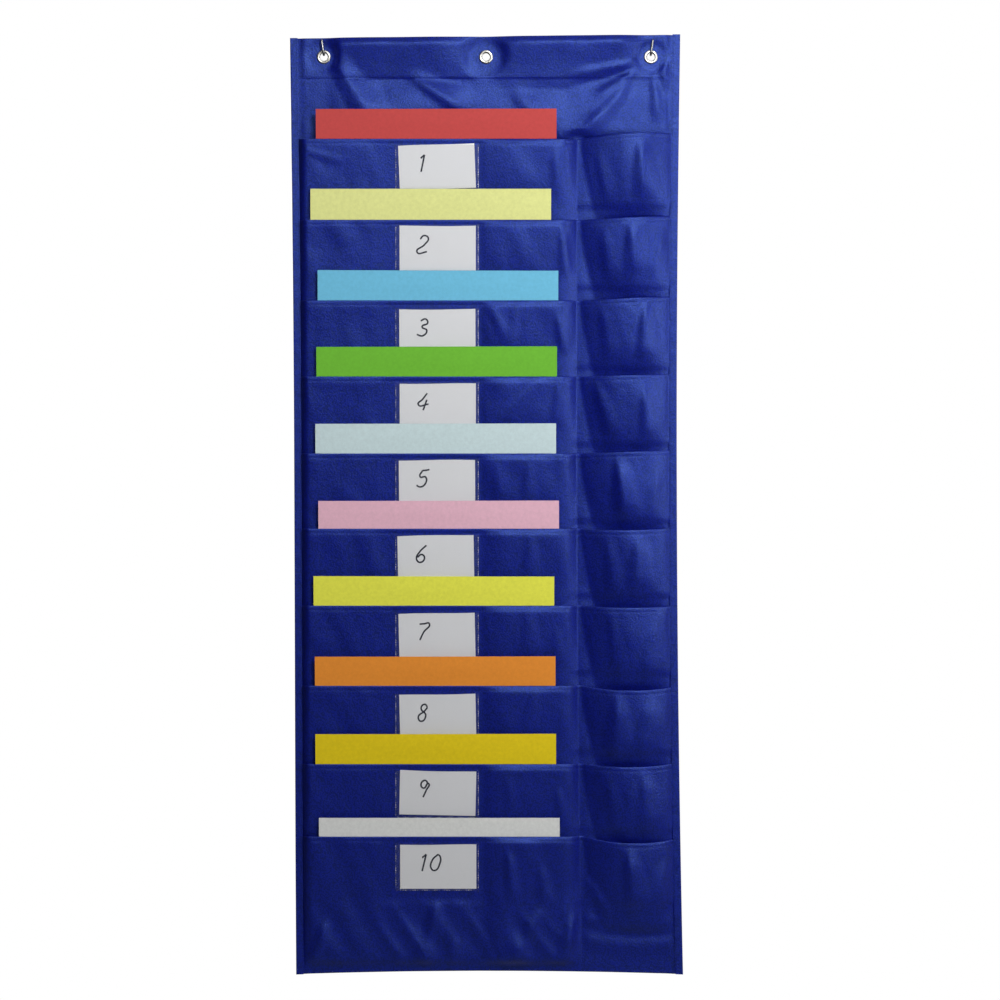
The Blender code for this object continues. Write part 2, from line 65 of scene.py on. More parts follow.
# Where the pockets' mouths come, from the header's stitching to the foot
MOUTH_SHARES = (0.0695, 0.160, 0.250, 0.335, 0.421, 0.505, 0.591, 0.6805, 0.768, 0.849)
ROWS = len(MOUTH_SHARES)
# The cloth lies flat round each eyelet, and its folds rise over the calm beyond
EYELETS = {"left": -0.2007, "middle": 0.0, "right": 0.2039}
EYELET_HOLE = 0.0054
EYELET_FLAT = 0.0105
EYELET_CALMS = {"left": 0.013, "middle": 0.021, "right": 0.013}
TAPE_CALM = 0.008
PANEL_CELL = 0.0046
HOLE_SIDES = 48
PUNCH_DEPTH = 0.03


def smooth(share):
    """An even rise from 0 to 1."""
    held = np.clip(share, 0.0, 1.0)
    return held * held * (3.0 - 2.0 * held)


def hung_x(x, z):
    """Where a point of the flat chart comes to lie across once the chart hangs."""
    share = (TOP_EDGE - z) / (TOP_EDGE - BOTTOM_EDGE)
    flare = TOP_FLARE * np.maximum(0.0, 1.0 - share / FLARE_SHARE) ** 2
    reach = HALF_WIDTH + flare - WAIST_DRAW * np.sin(np.pi * share)
    return HEM_DRIFT * share ** 3 - SIDE_DRIFT + x * reach / HALF_WIDTH


def top_edge(x):
    """Height of the panel's top edge."""
    return TOP_EDGE + TOP_SLANT * x / HALF_WIDTH


def bottom_edge(x):
    """Height of the panel's foot, whose corners hang lowest."""
    return BOTTOM_EDGE - BOTTOM_BOW * (x / HALF_WIDTH) ** 2


def mouth_height(row):
    """Height of a file pocket's mouth."""
    return HEADER_STITCH + MOUTH_SHARES[row] * (BOTTOM_EDGE - HEADER_STITCH)


# A fold starts at this share of its width and dies away over this share of its length
FOLD_START = 0.35
FOLD_FADE = 0.34


def pleat(x, z, start, end, width, rise, steep):
    """How far a straight fold lifts the cloth between start and end. It widens as it runs, and its
    left side is steep times as steep as its right one."""
    run = np.subtract(end, start)
    length = np.hypot(*run)
    along = ((x - start[0]) * run[0] + (z - start[1]) * run[1]) / length ** 2
    left = ((x - start[0]) * run[1] - (z - start[1]) * run[0]) / length
    widened = FOLD_START + (1.0 - FOLD_START) * np.clip(along, 0.0, 1.0)
    reach = np.where(left > 0.0, width / steep, width) * widened
    ends = smooth(along / FOLD_FADE) * smooth((1.0 - along) / FOLD_FADE)
    return rise * np.maximum(0.0, 1.0 - np.abs(left) / reach) * ends


def crumple(x, z, size, seed):
    """Soft uneven ground of the cloth, from 0 to 1, with lumps of the given size."""
    flat = [noise.noise(Vector((a / size, b / size, seed))) for a, b in zip(x.flat, z.flat)]
    return np.clip(0.5 + 0.75 * np.reshape(flat, x.shape), 0.0, 1.0)


def relax(field, passes):
    """Rounds the creases of a grid of depths, as the stiffness of the cloth does."""
    for _ in range(passes):
        wide = np.pad(field, 1, mode="edge")
        beside = wide[1:-1, :-2] + wide[1:-1, 2:] + wide[:-2, 1:-1] + wide[2:, 1:-1]
        field = 0.5 * field + 0.125 * beside
    return field


def sew(name, places, flat, finish, thickness=CLOTH):
    """A closed thin body with its middle at places[row, column], and its flat cut kept as a UV map
    in metres."""
    rows, columns = places.shape[:2]
    bpy.ops.object.select_all(action="DESELECT")
    bpy.ops.mesh.primitive_grid_add(x_subdivisions=columns - 1, y_subdivisions=rows - 1, size=1.0)
    cloth = bpy.context.object
    cloth.name = cloth.data.name = name
    unit = np.empty(len(cloth.data.vertices) * 3, np.float32)
    cloth.data.vertices.foreach_get("co", unit)
    unit = unit.reshape(-1, 3)
    column = np.rint((unit[:, 0] + 0.5) * (columns - 1)).astype(int)
    row = np.rint((0.5 - unit[:, 1]) * (rows - 1)).astype(int)
    cloth.data.vertices.foreach_set("co", places[row, column].astype(np.float32).ravel())
    corners = np.empty(len(cloth.data.loops), np.int32)
    cloth.data.loops.foreach_get("vertex_index", corners)
    cut = flat[row, column][corners].astype(np.float32)
    cloth.data.uv_layers[0].data.foreach_set("uv", cut.ravel())
    cloth.data.materials.append(finish)
    wall = cloth.modifiers.new("thickness", "SOLIDIFY")
    wall.thickness = thickness
    wall.offset = 0.0
    bpy.ops.object.modifier_apply(modifier=wall.name)
    bpy.ops.object.shade_smooth_by_angle(angle=math.radians(60))
    return cloth


def turned(edge, down, angle, way=1.0):
    """Heights and set-backs of rows of cloth that turn over an edge: down from it, with the angle 0
    in front, a half turn behind. Way is -1 where the cloth turns up behind its foot."""
    z = edge - way * np.maximum(down, LAYER * (1.0 - np.sin(angle)))
    return z, -LAYER * np.cos(angle)


TURN_ANGLES = [math.pi * share for share in (0.17, 0.34, 0.5, 0.66, 0.83)]


def new_finish(name, sockets):
    """A new finish with the given values of its shader, and its node tree and shader."""
    made = bpy.data.materials.new(name)
    made.use_nodes = True
    shader = made.node_tree.nodes["Principled BSDF"]
    for socket, value in sockets.items():
        shader.inputs[socket].default_value = value
    return made, made.node_tree, shader


def node(tree, kind, sockets=None, **settings):
    """A new node of a tree, with its settings and the values of its sockets."""
    made = tree.nodes.new("ShaderNode" + kind)
    for setting, value in settings.items():
        setattr(made, setting, value)
    for socket, value in (sockets or {}).items():
        made.inputs[socket].default_value = value
    return made


def opaque(colour):
    """A colour with its full cover."""
    return (*colour, 1.0)


def woven(name, colour, shade, grain=3.2):
    """Woven nylon: threads each way, an uneven grain, a satin face, and a blue that runs into painted
    shade by the weave, the grain and broad random lumps.
    """
    made, tree, shader = new_finish(name, {
        "IOR": 1.55,
        "Specular IOR Level": 1.0,
        "Specular Tint": (0.195, 0.35, 1.0, 1.0),
        "Sheen Weight": 0.04,
        "Sheen Roughness": 0.45,
        "Sheen Tint": (0.45, 0.6, 1.0, 1.0),
    })
    link = tree.links.new
    cut = node(tree, "TexCoord")
    weave = node(tree, "Math", operation="MULTIPLY")
    for socket, direction in enumerate(("X", "Y")):
        threads = node(tree, "TexWave", {"Scale": THREAD_SCALE, "Distortion": 0.6, "Detail Scale": 1.6},
                       bands_direction=direction)
        link(cut.outputs["UV"], threads.inputs["Vector"])
        link(threads.outputs["Fac"], weave.inputs[socket])
    speck = node(tree, "TexNoise", {"Scale": 520.0, "Detail": 3.0})
    ground = node(tree, "TexNoise", {"Scale": 14.0, "Detail": 4.0})
    crinkle = node(tree, "TexNoise", {"Scale": 130.0, "Detail": 5.0})
    for clouds in (speck, ground, crinkle):
        link(cut.outputs["Object"], clouds.inputs["Vector"])
    mottle = node(tree, "Math", {1: grain * 4.0, 2: -grain * 2.0}, operation="MULTIPLY_ADD")
    lit = node(tree, "Math", {1: 0.35}, operation="MULTIPLY_ADD")
    tone = node(tree, "Math", operation="ADD", use_clamp=True)
    # The base colour is mixed from the lit blue and the blue in painted shade, by the weave, the grain
    # and broad random lumps.
    grain_and_painted_shade = node(tree, "Mix", {"A": opaque(shade), "B": opaque(colour)}, data_type="RGBA")
    gloss = node(tree, "MapRange", {"To Min": 0.52, "To Max": 0.34})
    relief = node(tree, "Bump", {"Strength": 0.35, "Distance": 0.00012})
    pebble = node(tree, "Bump", {"Strength": 0.5, "Distance": 0.0006})
    creases = node(tree, "Bump", {"Strength": 0.4, "Distance": 0.0006})
    link(speck.outputs["Fac"], mottle.inputs[0])
    link(weave.outputs[0], lit.inputs[0])
    link(mottle.outputs[0], lit.inputs[2])
    link(lit.outputs[0], tone.inputs[0])
    link(ground.outputs["Fac"], tone.inputs[1])
    link(tone.outputs[0], grain_and_painted_shade.inputs["Factor"])
    link(grain_and_painted_shade.outputs["Result"], shader.inputs["Base Color"])
    link(speck.outputs["Fac"], gloss.inputs["Value"])
    link(gloss.outputs["Result"], shader.inputs["Roughness"])
    link(weave.outputs[0], relief.inputs["Height"])
    link(speck.outputs["Fac"], pebble.inputs["Height"])
    link(relief.outputs["Normal"], pebble.inputs["Normal"])
    link(crinkle.outputs["Fac"], creases.inputs["Height"])
    link(pebble.outputs["Normal"], creases.inputs["Normal"])
    link(creases.outputs["Normal"], shader.inputs["Normal"])
    return made


THREAD_PITCH = 0.0007
THREAD_SCALE = math.pi / (10.0 * THREAD_PITCH)
# The first blue is the lit cloth, and the second is the same cloth in painted shade.
blue_cloth = woven("blue_cloth", (0.0030, 0.0064, 0.215), (0.0012, 0.0027, 0.098))

# Each header fold: its two ends, its width, its rise, and how much steeper its left side is
HEADER_FOLDS = (
    ((-0.192, 0.006), (-0.128, -0.096), 0.036, 0.0068, 1.4),
    ((-0.100, -0.020), (-0.020, -0.070), 0.030, 0.0052, 2.2),
    ((0.196, -0.004), (0.100, -0.024), 0.016, 0.0034, 1.6),
    ((0.193, -0.010), (0.130, -0.056), 0.014, 0.0030, 1.3),
    ((0.186, -0.016), (0.118, -0.108), 0.020, 0.0034, 1.4),
    ((0.216, 0.000), (0.226, -0.044), 0.016, 0.0024, 1.2),
    ((0.206, -0.014), (0.214, -0.086), 0.013, 0.0026, 1.2),
    ((0.030, -0.036), (0.080, -0.100), 0.030, 0.0030, 1.8),
    ((0.150, -0.060), (0.104, -0.112), 0.018, 0.0030, 0.7),
)
# Between the outer eyelets the header sags forward. It is fullest at its crest under the top edge,
# and falls back to a valley, a line of heights across the header, below which it rises again.
SWAG_ACROSS = (-0.2007, -0.172, -0.10, -0.01, 0.03, 0.10, 0.15, 0.2039)
SWAG_HEIGHTS = (-0.012, -0.026, -0.029, -0.030, -0.040, -0.040, -0.024, -0.012)
SWAG_CREST = 0.0075
SWAG_RISE = 0.0110
SWAG_ROLL = 0.35
SWAG_LOWER = 0.0042
SWAG_LOWER_RUN = 0.032
SWAG_INSET = 0.002
SWAG_LEFT_RUN = 0.026
SWAG_RIGHT_RUN = 0.04
# The middle eyelet holds the swag back
MIDDLE_HOLD = 0.78
MIDDLE_HOLD_WIDTH = 0.036
HEADER_FOOT = -0.118
HEADER_FADE = 0.03
# The turned-down header stands this much prouder than the single cloth below its stitching
HEADER_STEP = 0.0008
STEP_DROP = 0.0012
STEP_RUN = 0.0018
# The first divider seam holds the panel down at its top end
SEAM_TOP = (0.1145, -0.108)
SEAM_TOP_FLAT = 0.005
SEAM_TOP_CALM = 0.014
# Uneven ground of the header and of the panel below it: rise, size of the lumps, and their seed
HEADER_LUMPS = ((0.0016, 0.034, 1.7), (0.0003, 0.012, 4.1))
SWAY_WAVES = (0.0016, 0.055, 8.3)
SWAY_STRETCH = 0.35
SWAY_LUMPS = (0.0005, 0.018, 2.9)
SWAY_START = 0.05


def uneven(x, z, rise, size, seed):
    """Uneven ground of the cloth, as a lift."""
    return rise * crumple(x, z, size, seed)


def header_lift(x, z):
    """How far the header's folds stand forward of the flat panel."""
    crest = top_edge(x) - SWAG_CREST
    valley = np.interp(x, SWAG_ACROSS, SWAG_HEIGHTS)
    between = smooth((x - EYELETS["left"] - SWAG_INSET) / SWAG_LEFT_RUN)
    between = between * smooth((EYELETS["right"] - SWAG_INSET - x) / SWAG_RIGHT_RUN)
    falling = np.clip((crest - z) / (crest - valley), 0.0, 1.0)
    rolled = SWAG_ROLL * smooth((z - crest) / SWAG_CREST)
    lower = np.clip((valley - z) / SWAG_LOWER_RUN, 0.0, 1.0)
    lift = SWAG_RISE * (1.0 - falling) * (1.0 - rolled) + SWAG_LOWER * lower
    lift *= between * (1.0 - MIDDLE_HOLD * np.exp(-(x / MIDDLE_HOLD_WIDTH) ** 2))
    for fold in HEADER_FOLDS:
        lift += pleat(x, z, *fold)
    lift += HEADER_STEP * smooth((z - HEADER_STITCH + STEP_DROP) / STEP_RUN)
    for lumps in HEADER_LUMPS:
        lift += uneven(x, z, *lumps)
    return lift * smooth((z - HEADER_FOOT) / HEADER_FADE)


def panel_calm(x, z):
    """0 where the panel lies flat under an eyelet, a tape or a strip's seam, 1 away from them."""
    calm = smooth((SEAM_REACH - np.abs(x)) / TAPE_CALM)
    for side, place in EYELETS.items():
        calm = calm * smooth((np.hypot(x - place, z) - EYELET_FLAT) / EYELET_CALMS[side])
    held = np.hypot(x - SEAM_TOP[0], z - SEAM_TOP[1])
    return calm * smooth((held - SEAM_TOP_FLAT) / SEAM_TOP_CALM)


def panel_sway(x, z):
    """Shallow waves of the lower panel, which lean back from the strips."""
    below = smooth((HEADER_FOOT - z) / SWAY_START)
    waves = uneven(x, SWAY_STRETCH * z, *SWAY_WAVES) + uneven(x, z, *SWAY_LUMPS)
    return -below * waves


# The grid is finer round the outer eyelets, and down the header and its stitching
FINE_REACH = 0.166
panel_across = np.concatenate([
    np.linspace(-PANEL_REACH, -SEAM_REACH, 4),
    np.linspace(-SEAM_REACH, -FINE_REACH, 26)[1:],
    np.linspace(-FINE_REACH, FINE_REACH, 95)[1:-1],
    np.linspace(FINE_REACH, SEAM_REACH, 26),
    np.linspace(SEAM_REACH, PANEL_REACH, 4)[1:],
])
header_downs = np.concatenate([
    np.linspace(0.0012, 0.0482, 20),
    np.linspace(0.0496, 0.0524, 5),
    np.linspace(0.0545, 0.145, 36),
])
panel_downs = np.arange(0.149, TOP_EDGE - BOTTOM_EDGE - 0.001, PANEL_CELL)
panel_rows = [("top", TOP_EDGE - HEADER_STITCH + HEADER_HEM - step, math.pi)
              for step in np.linspace(0.0, 0.0515, 14)]
panel_rows += [("top", 0.0, angle) for angle in reversed(TURN_ANGLES)]
panel_rows += [("top", down, 0.0) for down in (*header_downs, *panel_downs)]
panel_rows += [("foot", 0.0, angle) for angle in TURN_ANGLES]
panel_rows += [("foot", up, math.pi) for up in np.linspace(0.001, BOTTOM_HEM, 4)]
panel_places = []
for edge, down, angle in panel_rows:
    if edge == "top":
        z, back = turned(top_edge(panel_across), down, angle)
        z = np.maximum(z, bottom_edge(panel_across) + LAYER)
    else:
        z, back = turned(bottom_edge(panel_across), down, angle, way=-1.0)
    panel_places.append(np.stack([panel_across, np.full_like(z, back), z], axis=-1))
panel_places = np.array(panel_places)
x, z = panel_places[..., 0], panel_places[..., 2]
calm = panel_calm(x, z)
panel_places[..., 1] -= relax((header_lift(x, z) + panel_sway(x, z)) * calm, 2) * calm
middle_line = z[:, len(panel_across) // 2]
steps = np.abs(np.diff(middle_line, prepend=middle_line[0]))
panel_flat = np.stack([x, np.broadcast_to(np.cumsum(steps)[:, None], x.shape)], axis=-1)
panel_places[..., 0] = hung_x(x, z)
panel = sew("cloth_back_panel", panel_places, panel_flat, blue_cloth)
for side, place in EYELETS.items():
    bpy.ops.object.select_all(action="DESELECT")
    bpy.ops.mesh.primitive_cylinder_add(
        vertices=HOLE_SIDES, radius=EYELET_HOLE, depth=PUNCH_DEPTH, location=(place, 0.0, 0.0),
        rotation=(math.pi / 2, 0.0, 0.0),
    )
    punch = bpy.context.object
    bpy.ops.object.select_all(action="DESELECT")
    panel.select_set(True)
    bpy.context.view_layer.objects.active = panel
    hole = panel.modifiers.new("hole", "BOOLEAN")
    hole.operation = "DIFFERENCE"
    hole.solver = "EXACT"
    hole.object = punch
    bpy.ops.object.modifier_apply(modifier=hole.name)
    bpy.data.objects.remove(punch)
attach(panel, "root")
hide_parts("back_panel")


# Pocket strips. Ten strips of the same cloth, each hemmed inwards along its mouth and sewn to the
# panel along its foot, its ends and the seam that parts the wide file pocket from the narrow one.
# The file side slopes back flat behind its window, and the narrow side bellies out.
STRIP_HEIGHT = 0.166
MOUTH_HEM = 0.0065
HEM_STITCH = 0.0053
FILE_DEPTH = 0.0165
NARROW_DEPTH = 0.018
NARROW_POCKET_HEIGHT = 0.114
DIVIDER_PLACE = 0.1145
DIVIDER_SEAM = 0.0015
# The cloth rounds up from its seam over a ramp at each side of a file pocket
LEFT_RAMP = 0.0125
RIGHT_RAMP = 0.0225
LEFT_ROUND = 3.5
RIGHT_ROUND = 2.1
# A narrow pocket's mouth rises to the right and sags, each row by its own share
NARROW_RISE = 0.0075
NARROW_SAG = 0.006
NARROW_CREST_SHARE = 0.55
NARROW_START = 0.02
NARROW_DRAW = 0.2
NARROW_DRAW_CURVE = 1.4
NARROW_ROUND = 0.8
# Low down a strip is sewn right to the panel, and near its mouth over the foot of one more strip
LOW_SEAM = 0.0008
HIGH_SEAM = 0.0021
STEP_START = 0.078
STEP_END = 0.088
RISE_SHARES = (1.0, 0.7, 0.66, 0.38, 0.5, 0.08, -0.16, -0.33, -0.07, -0.6)
SAG_SHARES = (-0.45, 0.0, 0.0, 0.0, 0.0, 0.36, 0.32, 0.76, 0.56, 0.95)
WINDOW_LEFT = -0.11245
WINDOW_RIGHT = -0.00845
FILE_SLOPE = math.atan2(FILE_DEPTH - LOW_SEAM, STRIP_HEIGHT)
# Beside its window each file pocket swells forward to a crest, and falls off towards the divider
FILE_CRESTS = (0.030, 0.026, 0.022, 0.018, 0.024, 0.028, 0.028, 0.030, 0.024, 0.024)
FILE_SWELL = 0.0040
FILE_FALL_CURVE = 1.8
# The sheet in the next pocket slides up in front of the folds, this far from the flat cloth
FOLD_LIMIT = 0.0063
FOLD_EASE = 0.35
# The last strip is looser at its foot, with ridges of this rise
FOOT_RIDGES = 0.0052
# The folds of the file pockets: row, place across and up from the mouth of each end, width, rise,
# and how much steeper the left side is
FILE_FOLDS = (
    (0, (0.086, -0.006), (0.090, -0.082), 0.0136, 0.00480, 1.4),
    (0, (0.030, -0.004), (0.052, -0.070), 0.0255, 0.00224, 0.8),
    (0, (-0.226, -0.012), (-0.170, -0.030), 0.0102, 0.00160, 1.0),
    (1, (0.094, -0.004), (0.101, -0.076), 0.0153, 0.00480, 1.5),
    (1, (0.040, -0.002), (0.052, -0.075), 0.0221, 0.00256, 0.9),
    (2, (0.003, -0.001), (0.036, -0.066), 0.0136, 0.00416, 1.2),
    (2, (0.040, -0.001), (0.030, -0.060), 0.0119, 0.00352, 0.9),
    (2, (0.088, -0.008), (0.099, -0.070), 0.0136, 0.00416, 1.6),
    (3, (0.064, -0.004), (0.016, -0.064), 0.0153, 0.00448, 1.2),
    (3, (0.092, -0.004), (0.088, -0.070), 0.0153, 0.00288, 1.2),
    (4, (0.054, -0.004), (0.050, -0.076), 0.0187, 0.00448, 1.6),
    (4, (0.012, -0.004), (0.020, -0.060), 0.0102, 0.00160, 1.0),
    (5, (0.056, -0.002), (0.052, -0.076), 0.0204, 0.00448, 1.6),
    (6, (0.052, -0.003), (0.055, -0.070), 0.0204, 0.00416, 1.4),
    (6, (0.086, -0.020), (0.092, -0.080), 0.0136, 0.00224, 1.2),
    (7, (0.062, -0.003), (0.044, -0.070), 0.0204, 0.00416, 1.4),
    (8, (0.024, -0.010), (0.030, -0.074), 0.0153, 0.00384, 1.6),
    (8, (0.086, -0.024), (0.094, -0.086), 0.0136, 0.00480, 1.6),
    (9, (0.024, -0.010), (0.030, -0.088), 0.0170, 0.00448, 1.8),
    (9, (0.064, -0.030), (0.072, -0.092), 0.0170, 0.00288, 1.2),
    (9, (0.072, -0.078), (0.020, -0.172), 0.0187, 0.00480, 0.8),
    (9, (-0.060, -0.062), (-0.084, -0.176), 0.0255, 0.00416, 1.4),
    (9, (0.110, -0.086), (0.086, -0.168), 0.0136, 0.00384, 0.8),
    (9, (-0.196, -0.090), (-0.222, -0.172), 0.0153, 0.00320, 1.0),
)
# The folds of the narrow pockets: row, share of the pocket's width and place down of each end,
# width, rise and how much steeper the left side is
NARROW_FOLDS = (
    (0, 0.66, 0.000, 0.70, 0.090, 0.030, 0.0046, 1.8),
    (0, 0.18, 0.012, 0.34, 0.092, 0.020, 0.0015, 2.0),
    (1, 0.26, 0.006, 0.35, 0.088, 0.020, 0.0018, 1.5),
    (1, 0.56, 0.000, 0.62, 0.078, 0.030, 0.0043, 1.8),
    (1, 0.93, 0.004, 0.80, 0.084, 0.013, 0.0024, 1.0),
    (2, 0.24, 0.000, 0.38, 0.088, 0.020, 0.0019, 1.4),
    (2, 0.74, 0.000, 0.70, 0.088, 0.030, 0.0049, 2.2),
    (3, 0.17, 0.000, 0.38, 0.084, 0.020, 0.0025, 1.6),
    (3, 0.72, 0.006, 0.77, 0.092, 0.030, 0.0043, 2.2),
    (4, 0.42, 0.000, 0.52, 0.094, 0.030, 0.0054, 1.8),
    (4, 0.86, 0.012, 0.78, 0.096, 0.016, 0.0022, 1.0),
    (5, 0.30, 0.000, 0.40, 0.092, 0.020, 0.0017, 1.5),
    (5, 0.67, 0.000, 0.62, 0.086, 0.030, 0.0041, 1.6),
    (6, 0.33, 0.000, 0.42, 0.092, 0.020, 0.0020, 1.6),
    (6, 0.84, 0.006, 0.72, 0.094, 0.018, 0.0024, 1.2),
    (7, 0.42, 0.000, 0.36, 0.096, 0.030, 0.0041, 1.5),
    (7, 0.79, 0.002, 0.70, 0.090, 0.030, 0.0038, 1.3),
    (8, 0.27, 0.000, 0.42, 0.096, 0.020, 0.0019, 1.5),
    (8, 0.69, 0.000, 0.75, 0.090, 0.030, 0.0043, 1.6),
    (9, 0.50, 0.000, 0.57, 0.096, 0.030, 0.0051, 2.0),
    (9, 0.02, 0.044, 0.32, 0.100, 0.014, 0.0028, 0.8),
    (9, 0.90, 0.016, 0.80, 0.104, 0.016, 0.0022, 1.0),
)


def narrow_share(x):
    """0 at the divider seam, 1 at the right seam."""
    start = DIVIDER_PLACE + DIVIDER_SEAM
    return np.clip((x - start) / (SEAM_REACH - start), 0.0, 1.0)


def mouth_edge(row, x):
    """Height of a strip's top edge: level over the file pocket, sagging over the narrow one."""
    share = narrow_share(x)
    sag = NARROW_SAG * SAG_SHARES[row] * 4.0 * share * (1.0 - share)
    return mouth_height(row) + NARROW_RISE * RISE_SHARES[row] * share - sag


def seam_depth(below):
    """Depth of a strip where it is sewn down, over one more strip near its mouth."""
    return HIGH_SEAM - (HIGH_SEAM - LOW_SEAM) * smooth((below - STEP_START) / (STEP_END - STEP_START))


def file_depth(below):
    """Depth of a file pocket's flat front."""
    return LOW_SEAM + (FILE_DEPTH - LOW_SEAM) * np.maximum(0.0, 1.0 - below / STRIP_HEIGHT)


def narrow_bulge(row, x, z):
    """How far a narrow pocket stands out from its seams. Lower down it rises further from the
    divider."""
    below = np.clip((mouth_edge(row, x) - z) / NARROW_POCKET_HEIGHT, 0.0, 1.0)
    start = NARROW_START + NARROW_DRAW * below ** NARROW_DRAW_CURVE
    share = np.clip((narrow_share(x) - start) / (1.0 - start), 0.0, 1.0)
    lean = math.log(0.5) / math.log(NARROW_CREST_SHARE)
    across = np.maximum(0.0, np.sin(np.pi * share ** lean))
    return NARROW_DEPTH * across ** NARROW_ROUND * (1.0 - below ** 3)


def strip_depth(row, x, z):
    """Depth of a strip before its folds."""
    below = mouth_height(row) - z
    seam = seam_depth(below)
    left = 1.0 - (1.0 - np.clip((x + SEAM_REACH) / LEFT_RAMP, 0.0, 1.0)) ** LEFT_ROUND
    right = 1.0 - (1.0 - np.clip((DIVIDER_PLACE - x) / RIGHT_RAMP, 0.0, 1.0)) ** RIGHT_ROUND
    file_side = seam + (file_depth(below) - seam) * np.minimum(left, right)
    return np.where(x >= DIVIDER_PLACE, seam + narrow_bulge(row, x, z), file_side)


def file_folds(row, x, z, down):
    """How far a file pocket's folds stand out. They leave its window, seams and mouth alone."""
    lift = uneven(x + 0.3 * z, 0.5 * z, 0.0019, 0.026, 3.0 + row)
    lift += uneven(x, z, 0.0003, 0.011, 9.0 + row)
    crest = FILE_CRESTS[row]
    before = smooth((x - WINDOW_RIGHT) / (crest - WINDOW_RIGHT))
    past = np.clip((x - crest) / (DIVIDER_PLACE - crest), 0.0, 1.0)
    lift += FILE_SWELL * before * (1.0 - past ** FILE_FALL_CURVE)
    if row == ROWS - 1:
        ridges = 1.0 - np.abs(2.0 * crumple(x + 0.5 * z, 0.36 * z, 0.030, 5.6) - 1.0)
        lift += FOOT_RIDGES * ridges * smooth((down - 0.066) / 0.080)
    for fold_row, *fold in FILE_FOLDS:
        if fold_row == row:
            lift += pleat(x, -down, *fold)
    if row < ROWS - 1:
        ease = 1.0 - FOLD_EASE * smooth((down - 0.035) / 0.045)
        lift = FOLD_LIMIT * np.tanh(lift / FOLD_LIMIT) * ease
    seams = smooth((x + SEAM_REACH) / 0.012) * smooth((DIVIDER_PLACE - x) / 0.014)
    free = smooth((WINDOW_LEFT - 0.001 - x) / 0.036) + smooth((x - WINDOW_RIGHT - 0.001) / 0.009)
    if row == ROWS - 1:
        free = np.maximum(free, smooth((down - 0.074) / 0.012))
    return lift * seams * free * smooth((down + 0.003) / 0.012)


def narrow_folds(row, x, z, down):
    """How far a narrow pocket's folds stand out. The last strip has two ridges below its pocket."""
    start = DIVIDER_PLACE + DIVIDER_SEAM
    wide = SEAM_REACH - start
    lift = uneven(x, 0.6 * z, 0.0016, 0.024, 21.0 + row)
    lift += uneven(x, z, 0.0003, 0.010, 33.0 + row)
    for fold_row, first, top, second, low, *fold in NARROW_FOLDS:
        if fold_row == row:
            lift += pleat(x, -down, (start + wide * first, -top), (start + wide * second, -low), *fold)
    between = smooth((x - DIVIDER_PLACE) / 0.010) * smooth((SEAM_REACH - x) / 0.010)
    inside = smooth((0.113 - down) / 0.018) * smooth((down + 0.004) / 0.012)
    lift *= between * inside
    if row == ROWS - 1:
        ridges = np.exp(-((down - 0.103) / 0.008) ** 2) + np.exp(-((down - 0.127) / 0.010) ** 2)
        lift = (lift + 0.0018 * ridges) * between
    return lift


def strip_folds(row, x, z):
    """How far a strip's folds stand out."""
    down = mouth_edge(row, x) - z
    foot = smooth((STRIP_HEIGHT - 0.004 - down) / 0.010)
    sides = (narrow_folds(row, x, z, down), file_folds(row, x, z, down))
    return np.where(x >= DIVIDER_PLACE, *sides) * foot


HEM_FULLNESS = 0.0002
STITCH_DRAW = 0.00018


def hem_swell(down):
    """A turned hem is fullest just under its fold and drawn in by its stitching."""
    full = HEM_FULLNESS * smooth(down / 0.0012) * smooth((HEM_STITCH - down) / 0.003)
    drawn = STITCH_DRAW * np.exp(-((down - HEM_STITCH) / 0.0008) ** 2)
    return full - drawn


STRIP_CELL = 0.0028
TAPE_MIDDLE = 0.234
HEM_DOWN = 0.0110
LAST_FOOT = 0.0008
DIVIDER_MIDDLE = DIVIDER_PLACE + DIVIDER_SEAM / 2
strip_across = np.unique(np.concatenate([
    (-PANEL_REACH, -TAPE_MIDDLE, DIVIDER_PLACE, DIVIDER_MIDDLE, DIVIDER_PLACE + DIVIDER_SEAM),
    np.linspace(-SEAM_REACH, -SEAM_REACH + LEFT_RAMP, 9),
    np.linspace(-SEAM_REACH + LEFT_RAMP, DIVIDER_PLACE - RIGHT_RAMP, 108),
    np.linspace(DIVIDER_PLACE - RIGHT_RAMP, DIVIDER_PLACE, 12),
    np.linspace(DIVIDER_PLACE + DIVIDER_SEAM, SEAM_REACH, 48),
    (TAPE_MIDDLE, PANEL_REACH),
]).round(6))
DIVIDER_COLUMN = int(np.argmin(np.abs(strip_across - DIVIDER_MIDDLE)))
hem_downs = np.linspace(MOUTH_HEM, 0.0012, 4)
front_downs = np.concatenate([
    (0.0007, 0.0015, 0.0028, 0.0041, HEM_STITCH, MOUTH_HEM, 0.0085),
    np.arange(HEM_DOWN, STRIP_HEIGHT - 0.002, STRIP_CELL),
    (STRIP_HEIGHT,),
])
strip_rows = [(down, math.pi) for down in hem_downs]
strip_rows += [(0.0, angle) for angle in reversed(TURN_ANGLES)]
MOUTH_ROW = len(strip_rows)
HEM_ROW = MOUTH_ROW + 4
strip_rows += [(down, 0.0) for down in front_downs]
strip_places = {}
